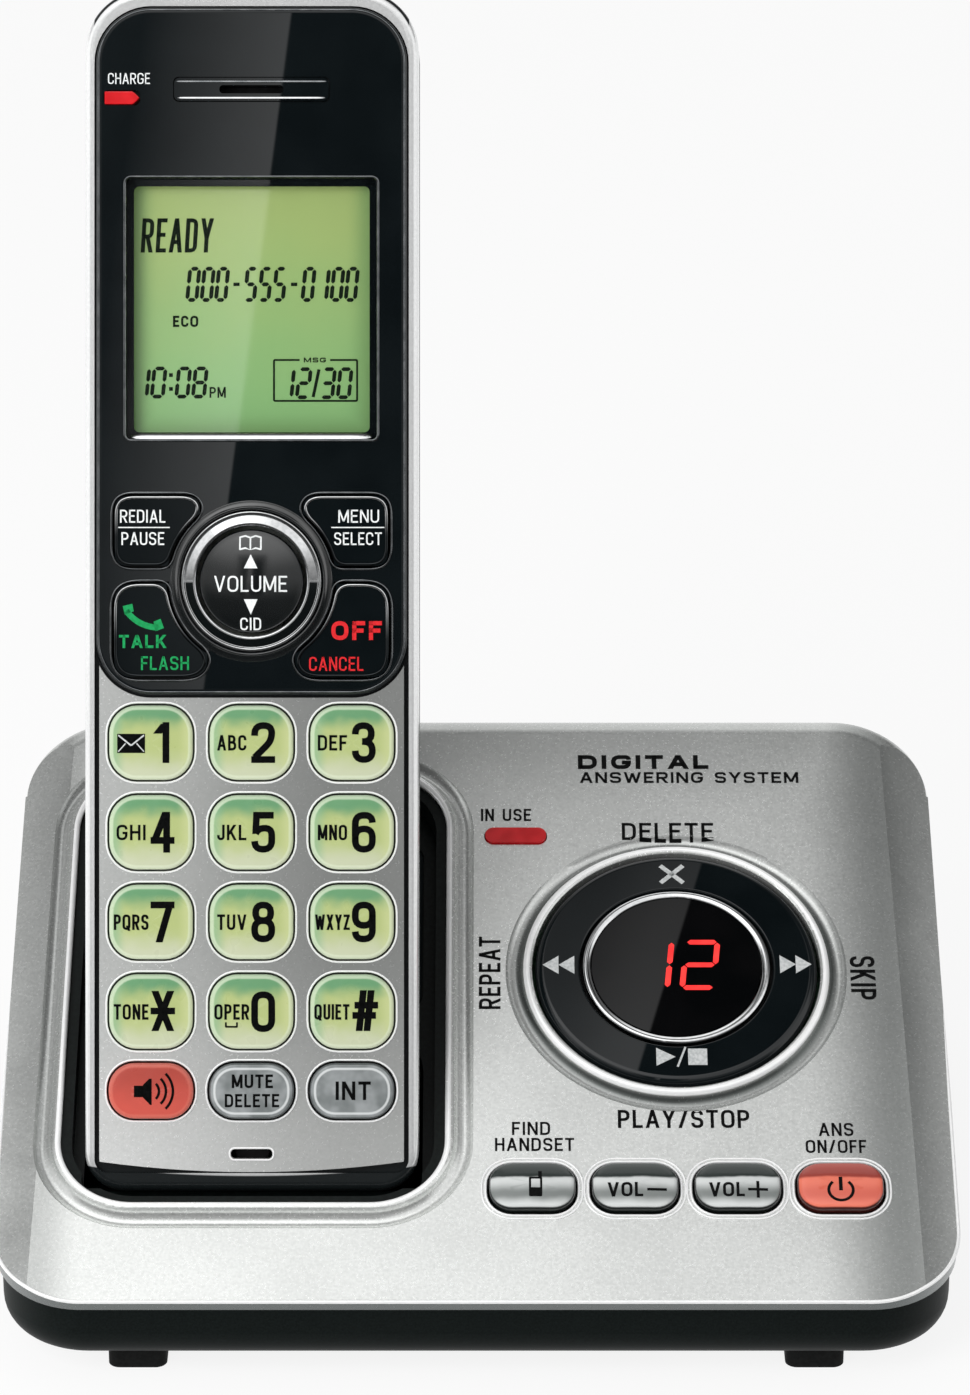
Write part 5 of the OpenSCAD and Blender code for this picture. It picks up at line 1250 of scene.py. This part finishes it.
# figures side by side, leaning by a share of their height
def barFigures(text, places, y, w, l, t):
    parts = []
    for letter, x in zip(text, places):
        parts += moved(barDigit(letter, w, l, t), x, 0)
    return [(np.c_[p[:, 0] + barShape["lean"] * p[:, 1], p[:, 1] + y, p[:, 2]], f) for p, f in parts]


# the number's figures stand at one pitch, with a dash between its groups; clock and date are below it
numberRow = {"first": -8.55, "pitch": 2.08, "places": (0, 1, 2, 4, 5, 6, 8, 9, 10, 11), "y": 130.67,
             "size": (1.32, 4.5, 0.58), "dashes": (-2.31, 6.01), "dashHalf": 0.45, "dashWidth": 0.5}
smallFigure = (1.6, 4.05, 0.56)
numberPlaces = numberRow["first"] + numberRow["pitch"] * np.array(numberRow["places"])
screenWords = barFigures("0005550100", numberPlaces, numberRow["y"], *numberRow["size"])
for x in numberRow["dashes"]:
    dash = [(x - numberRow["dashHalf"], numberRow["y"]), (x + numberRow["dashHalf"], numberRow["y"])]
    screenWords.append(strokePart(dash, numberRow["dashWidth"]))
screenWords += barFigures("1008", (-15.9, -13.55, -10.0, -7.6), 116.5, *smallFigure)
screenWords += barFigures("1230", (5.0, 7.4, 10.9, 13.3), 116.4, *smallFigure)
screenWords += [boxPart(-12.05, low, -11.5, low + 0.55) for low in (115.3, 117.3)]
dateFrame = np.array([(6.8, 119.75), (3.1, 119.75), (3.1, 113.85),
                      (15.1, 113.85), (15.1, 119.75), (11.2, 119.75)])
screenWords += [strokePart([(8.75, 114.4), (9.6, 118.4)], 0.45),
                wordPart("READY", (-16.0, 135.27, -5.7, 140.2), 0.12, 0.06),
                wordPart("ECO", (-11.48, 124.52, -7.83, 126.14), 0.2),
                wordPart("PM", (-6.2, 114.3, -3.86, 115.86), 0.16),
                wordPart("MSG", (7.4, 119.4, 10.6, 120.1), 0.24),
                strokePart(easedRun(dateFrame, 0.2), 0.28)]
printOn("display_words", screenWords, onHandset, display["screen"], "screenInk", "handset")

# charge light: a flat lens drawn out to a point on its right, where its height falls to nothing
charge = {"x": -18.6, "w": 157.2, "half": 2.5, "point": 1.1, "height": 0.93, "low": -1.2, "top": 0.68,
          "edge": 0.15}
station = np.linspace(0, 1, 13)
upper = np.c_[charge["half"] - charge["point"] * (1 - station ** 1.4), charge["height"] * (1 - station ** 2)]
outline = np.vstack([[(-charge["half"], charge["height"])], upper, (upper * np.array([1, -1]))[::-1][1:],
                     [(-charge["half"], -charge["height"])]])[::-1]
lensRings = ((0, charge["low"]), (0, charge["top"] - charge["edge"]),
             (0.3, charge["top"] - 0.3 * charge["edge"]), (1, charge["top"]))
rows = []
for shrink, height in lensRings:
    scale = 1 - shrink * charge["edge"] / np.array([charge["half"], charge["height"]])
    rows.append(np.c_[outline * scale + np.array([charge["x"], charge["w"]]), np.full(len(outline), height)])
lensPart = gridPart(np.stack(rows), firstPole=True, lastPole=True)
makePiece("charge_light", [lensPart], onHandset, "lens", "handset", ("charge_lens",),
          smooth=False)
chargeWord = [wordPart("CHARGE", (-20.6, 159.17, -14.57, 160.75), 0.11)]
printOn("charge_word", chargeWord, onHandset, navRing["mask"], "whiteInk", "handset")
print("display and earpiece made")

# dial: black ring with a rolled edge, plated trim, smoked window with lit figures
dial = {"x": 29.6, "u": 57.8, "r": 20.9, "inner": 14.39, "top": 1.0, "low": -1.0, "edge": 1.2}
rim = edgeRound(dial["edge"], dial["top"], 10)
dialProfile = np.vstack([[(dial["r"], dial["low"])], np.c_[dial["r"] - rim[:, 0], rim[:, 1]],
                         [(dial["r"] - dial["edge"] - 0.05, dial["top"]), (dial["inner"] + 0.25, dial["top"]),
                          (dial["inner"] + 0.15, dial["top"]), (dial["inner"], dial["top"] - 0.15),
                          (dial["inner"], dial["low"])]])
centre = (dial["x"], dial["u"])
makePiece("dial_black_ring", [turnedPart(dialProfile, centre, 160, closeRows=True)], onFace, "gloss", "dial",
          ("dial_ring",))


def doubleArrow(way):
    return [prismPart([(way * s, 1.65), (way * s, -1.65), (way * (s + 2.35), 0)]) for s in (-2.35, 0.0)]


cross = [strokePart([(-1.7, -1.6), (1.7, 1.6)], 0.7), strokePart([(-1.7, 1.6), (1.7, -1.6)], 0.7)]
playStop = [prismPart([(-3.7, 1.6), (-3.7, -1.6), (-0.9, 0)]), strokePart([(-0.6, -1.75), (0.6, 1.75)], 0.3),
            boxPart(0.95, -1.45, 3.75, 1.45)]
signs = moved(cross, 29.3, 74.9) + moved(doubleArrow(-1), 12.15, 58.1) + moved(doubleArrow(1), 47.3, 58.2)
printOn("dial_signs", signs + moved(playStop, 30.0, 41.5), onFace, dial["top"], "greyInk", "dial")
trimProfile = np.array([(13.89, -1.0), (13.89, 0.95), (13.78, 1.12), (13.55, 1.2), (13.2, 1.16),
                        (12.85, 1.05), (12.72, 0.95), (12.69, 0.8), (12.69, -1.0)])
trimRing = turnedPart(trimProfile, centre, 160, closeRows=True)
makePiece("counter_plated_ring", [trimRing], onFace, "chrome", "base", ("counter_trim_ring",))
figures = barFigures("12", (-3.3, 3.5), 0.0, 4.6, 8.3, 0.82)
printOn("counter_figures", moved(figures, dial["x"], dial["u"] + 0.3), onFace, dial["top"], "lamp", "base")

# beads round the dial and round the handset's recess, near white as a painted highlight
dialBead = {"ring": 22.1, "radius": 0.6, "height": 0.3}
recessBead = {"w": 56.6, "l": 79.2, "r": 11.35, "place": (-32.3, 55.55), "radius": 0.55, "height": 0.33}
circle = np.radians(np.linspace(0, 360, 160, endpoint=False))
dialLoop = np.array(centre) + dialBead["ring"] * np.stack([np.cos(circle), np.sin(circle)], -1)
recessLoop = grownLoop(recessBead, 0, recessBead["place"], 24, 24)
beads = [beadPart(dialLoop, dialBead["radius"], dialBead["height"], 20),
         beadPart(recessLoop, recessBead["radius"], recessBead["height"], 20)]
makePiece("face_beads", beads, onFace, "edge", "base")
print("dial made")

# base keys: caps with a back slope and painted reflection and shade, set in a double cut edge, near white as
# a painted highlight
baseCap = {"w": 12.4, "l": 8.2, "r": 3.4, "low": -1.5, "top": 1.6, "edge": 0.7, "crown": 70.0, "slope": 0.45,
           "slopeAt": 1.2, "slopeRun": 2.6}
baseRow = {"first": 8.05, "pitch": 14.75, "u": 19.1, "edges": ((0.5, 0.2), (1.05, 0.17)), "edgeHeight": 0.03,
           "keys": ("key_find", "key_volume_down", "key_volume_up", "key_answer")}
cordlessIcon = [bandPart(roundedLoop(1.9, 3.3, 0.2, 3, 2) + np.array([0.46, -0.65]),
                         roundedLoop(1.3, 2.7, 0.1, 3, 2) + np.array([0.46, -0.65])),
                boxPart(-0.45, -2.25, 1.36, -0.8), boxPart(0.85, 0.9, 1.36, 2.1)]
powerIcon = [strokePart(arcPath((0, 0), 1.75, 130, 410, 40), 0.42), boxPart(-0.26, -0.1, 0.26, 2.2)]
baseLegends = (cordlessIcon,
               [wordPart("VOL", (-3.96, -2.3, 1.1, 0.1), 0.17), strokePart([(1.7, -1.1), (4.5, -1.1)], 0.42)],
               [wordPart("VOL", (-4.15, -2.3, 0.9, 0.1), 0.17), strokePart([(1.4, -1.1), (4.25, -1.1)], 0.42),
                strokePart([(2.82, -2.5), (2.82, 0.3)], 0.42)], moved(powerIcon, -0.05, -1.2))
keyEdges = []
for place, name in enumerate(baseRow["keys"]):
    spot = (baseRow["first"] + place * baseRow["pitch"], baseRow["u"])
    seat = seatOn(onFace, *spot)
    finish, slot = ("baseRed", "red_key") if name == "key_answer" else ("baseKey", "smoke_key")
    makeCap(name, baseCap, seat, finish)
    printOn(name + "_legend", baseLegends[place], seat, capHeight(baseCap), "blackInk", name)
    for grow, radius in baseRow["edges"]:
        keyEdges.append(beadPart(grownLoop(baseCap, grow, spot), radius, baseRow["edgeHeight"]))
makePiece("base_key_edges", keyEdges, onFace, "edge", "base")

# the words lie on the face and dip into the hollow round the dial, which has one radius about a ring
hollow = {"ring": 23.99, "half": 1.327, "radius": 1.5, "rise": 0.7, "clear": 0.12}


# dip = rise - sqrt(radius2 - off2), where off is the distance from that ring
def faceHeight(x, u):
    off = np.abs(np.hypot(x - dial["x"], u - dial["u"]) - hollow["ring"])
    dip = hollow["rise"] - np.sqrt(np.clip(hollow["radius"] ** 2 - off ** 2, 0, None)) + hollow["clear"]
    return np.where(off < hollow["half"], np.minimum(dip, 0.0), 0.0)


labels = (("DELETE", (21.98, 82.16, 35.83, 85.4), 0.15), ("PLAY/STOP", (20.53, 29.64, 39.61, 32.79), 0.15),
          ("FIND", (5.17, 28.42, 10.69, 30.69), 0.15), ("HANDSET", (2.7, 25.63, 14.14, 27.89), 0.15),
          ("ANS", (49.59, 28.24, 54.61, 30.51), 0.15), ("ON/OFF", (47.6, 25.29, 56.36, 27.54), 0.15),
          ("IN USE", (0.65, 85.79, 8.25, 88.09), 0.15), ("DIGITAL", (15.48, 95.83, 35.43, 98.5), 0.27),
          ("ANSWERING SYSTEM", (15.75, 93.11, 49.09, 95.2), 0.19))
baseWords = [wordPart(*label) for label in labels]
baseWords += moved([wordPart("REPEAT", (-6.6, -1.6, 6.6, 1.6), 0.15)], 1.95, 57.4, 90)
baseWords += moved([wordPart("SKIP", (-3.95, -1.85, 3.95, 1.85), 0.15)], 57.25, 56.45, -90)
printOn("base_words", baseWords, onFace, faceHeight, "blackInk", "base")
print("base keys and words made")

# bead along the front lip, near white as a painted highlight: it follows the face's edge round both corners
# and down the shoulders
lip = {"upTo": 60.0, "bead": 0.28, "thinOver": 25.0}


# the face's outline from left to right: side, quarter circle, front, quarter circle, side
def faceEdge():
    half, r = base["width"] / 2, base["corner"]
    bend = np.radians(np.linspace(-90, 0, 25))
    rightSide = np.vstack([np.c_[half - r + r * np.cos(bend), r + r * np.sin(bend)],
                           np.c_[np.full(30, half), np.linspace(r, lip["upTo"], 31)[1:]]])
    leftSide = rightSide[::-1] * np.array([-1, 1])
    return np.vstack([leftSide, np.c_[np.linspace(r - half, half - r, 60)[1:-1], np.zeros(58)], rightSide])


# how far the shoulders lie below the face, by the formula given with their sizes
def shoulderFall(x, u):
    radius = shoulder["frontR"] + (shoulder["backR"] - shoulder["frontR"]) * u / base["faceLength"]
    run = np.clip(np.abs(x) - (base["width"] / 2 - shoulder["run"]), 0, None)
    return np.minimum(0, shoulder["crease"] - radius + np.sqrt(radius ** 2 - run ** 2))


path = faceEdge()
path = np.c_[path, shoulderFall(path[:, 0], path[:, 1])]
ahead = np.gradient(path, axis=0)
ahead /= np.linalg.norm(ahead, axis=1)[:, None]
outward = np.cross(ahead, np.array([0, 0, 1.0]))
outward /= np.linalg.norm(outward, axis=1)[:, None]
above = np.cross(outward, ahead)
# section = path + thin (cos a outward, sin a above), thinner towards both ends
turn = np.linspace(0, 2 * np.pi, 10, endpoint=False)[None, :, None]
thin = lip["bead"] * np.clip((lip["upTo"] + 0.5 - path[:, 1]) / lip["thinOver"], 0.05, 1)[:, None, None]
rows = path[:, None] + thin * (np.cos(turn) * outward[:, None] + np.sin(turn) * above[:, None])
makePiece("front_lip_bead", [gridPart(rows[:, ::-1], firstPole=True, lastPole=True)], onFace, "edge", "base")
print("front lip made")

# back of the battery door: raised grip ribs, each a round bar that thins at both ends
grip = {"w": 82.0, "count": 5, "pitch": 1.8, "half": 8.0, "radius": 0.55, "back": -23.0}
turn = np.linspace(0, 2 * np.pi, 10, endpoint=False)
ribs = []
for place in range(grip["count"]):
    station = np.linspace(-grip["half"], grip["half"], 17)
    taper = grip["radius"] * np.sqrt(np.clip(1 - (station / (grip["half"] * 1.02)) ** 8, 0.02, 1))
    rows = np.stack([station[:, None] + 0 * turn,
                     grip["w"] + place * grip["pitch"] + taper[:, None] * np.cos(turn),
                     grip["back"] + 0.1 + taper[:, None] * np.sin(turn)], -1)
    ribs.append(gridPart(rows, firstPole=True, lastPole=True))
makePiece("door_grip", ribs, onHandset, "shell", "door")
print("door grip made")

# the CAD nodes that show as they are
worn = {
    "face": ("base_top_shell",), "plate": ("keypad_plate",), "rail": ("handset_front_shell",),
    "shell": ("base_bottom_shell", "handset_back_shell", "battery_door"),
    "cradle": ("cradle_insert",), "gloss": ("speaker_grille", "front_mask", "earpiece_grille"),
    "keyBlack": ("key_redial", "key_menu", "key_talk", "key_off"),
    "window": ("counter_window",), "lens": ("in_use_lens",), "glass": ("display_lens",),
    "screen": ("lcd_module",), "board": ("base_circuit_board", "handset_circuit_board"),
    "silicone": ("base_key_mat", "keypad_mat"), "rubber": ("rubber_feet",),
    "contact": ("cradle_contacts", "handset_contacts"), "steel": ("base_screws", "handset_screws"),
    "inner": ("microphone", "base_speaker", "earpiece_speaker", "ringer_speaker", "counter_display",
              "dial_carrier", "line_jack", "power_jack"),
    "wrap": ("battery_pack",)}
for finish, names in worn.items():
    for name in names:
        for materialSlot in nodes[name].material_slots:
            materialSlot.material = finishes[finish]
print("CAD nodes dressed:", sum(len(names) for names in worn.values()))
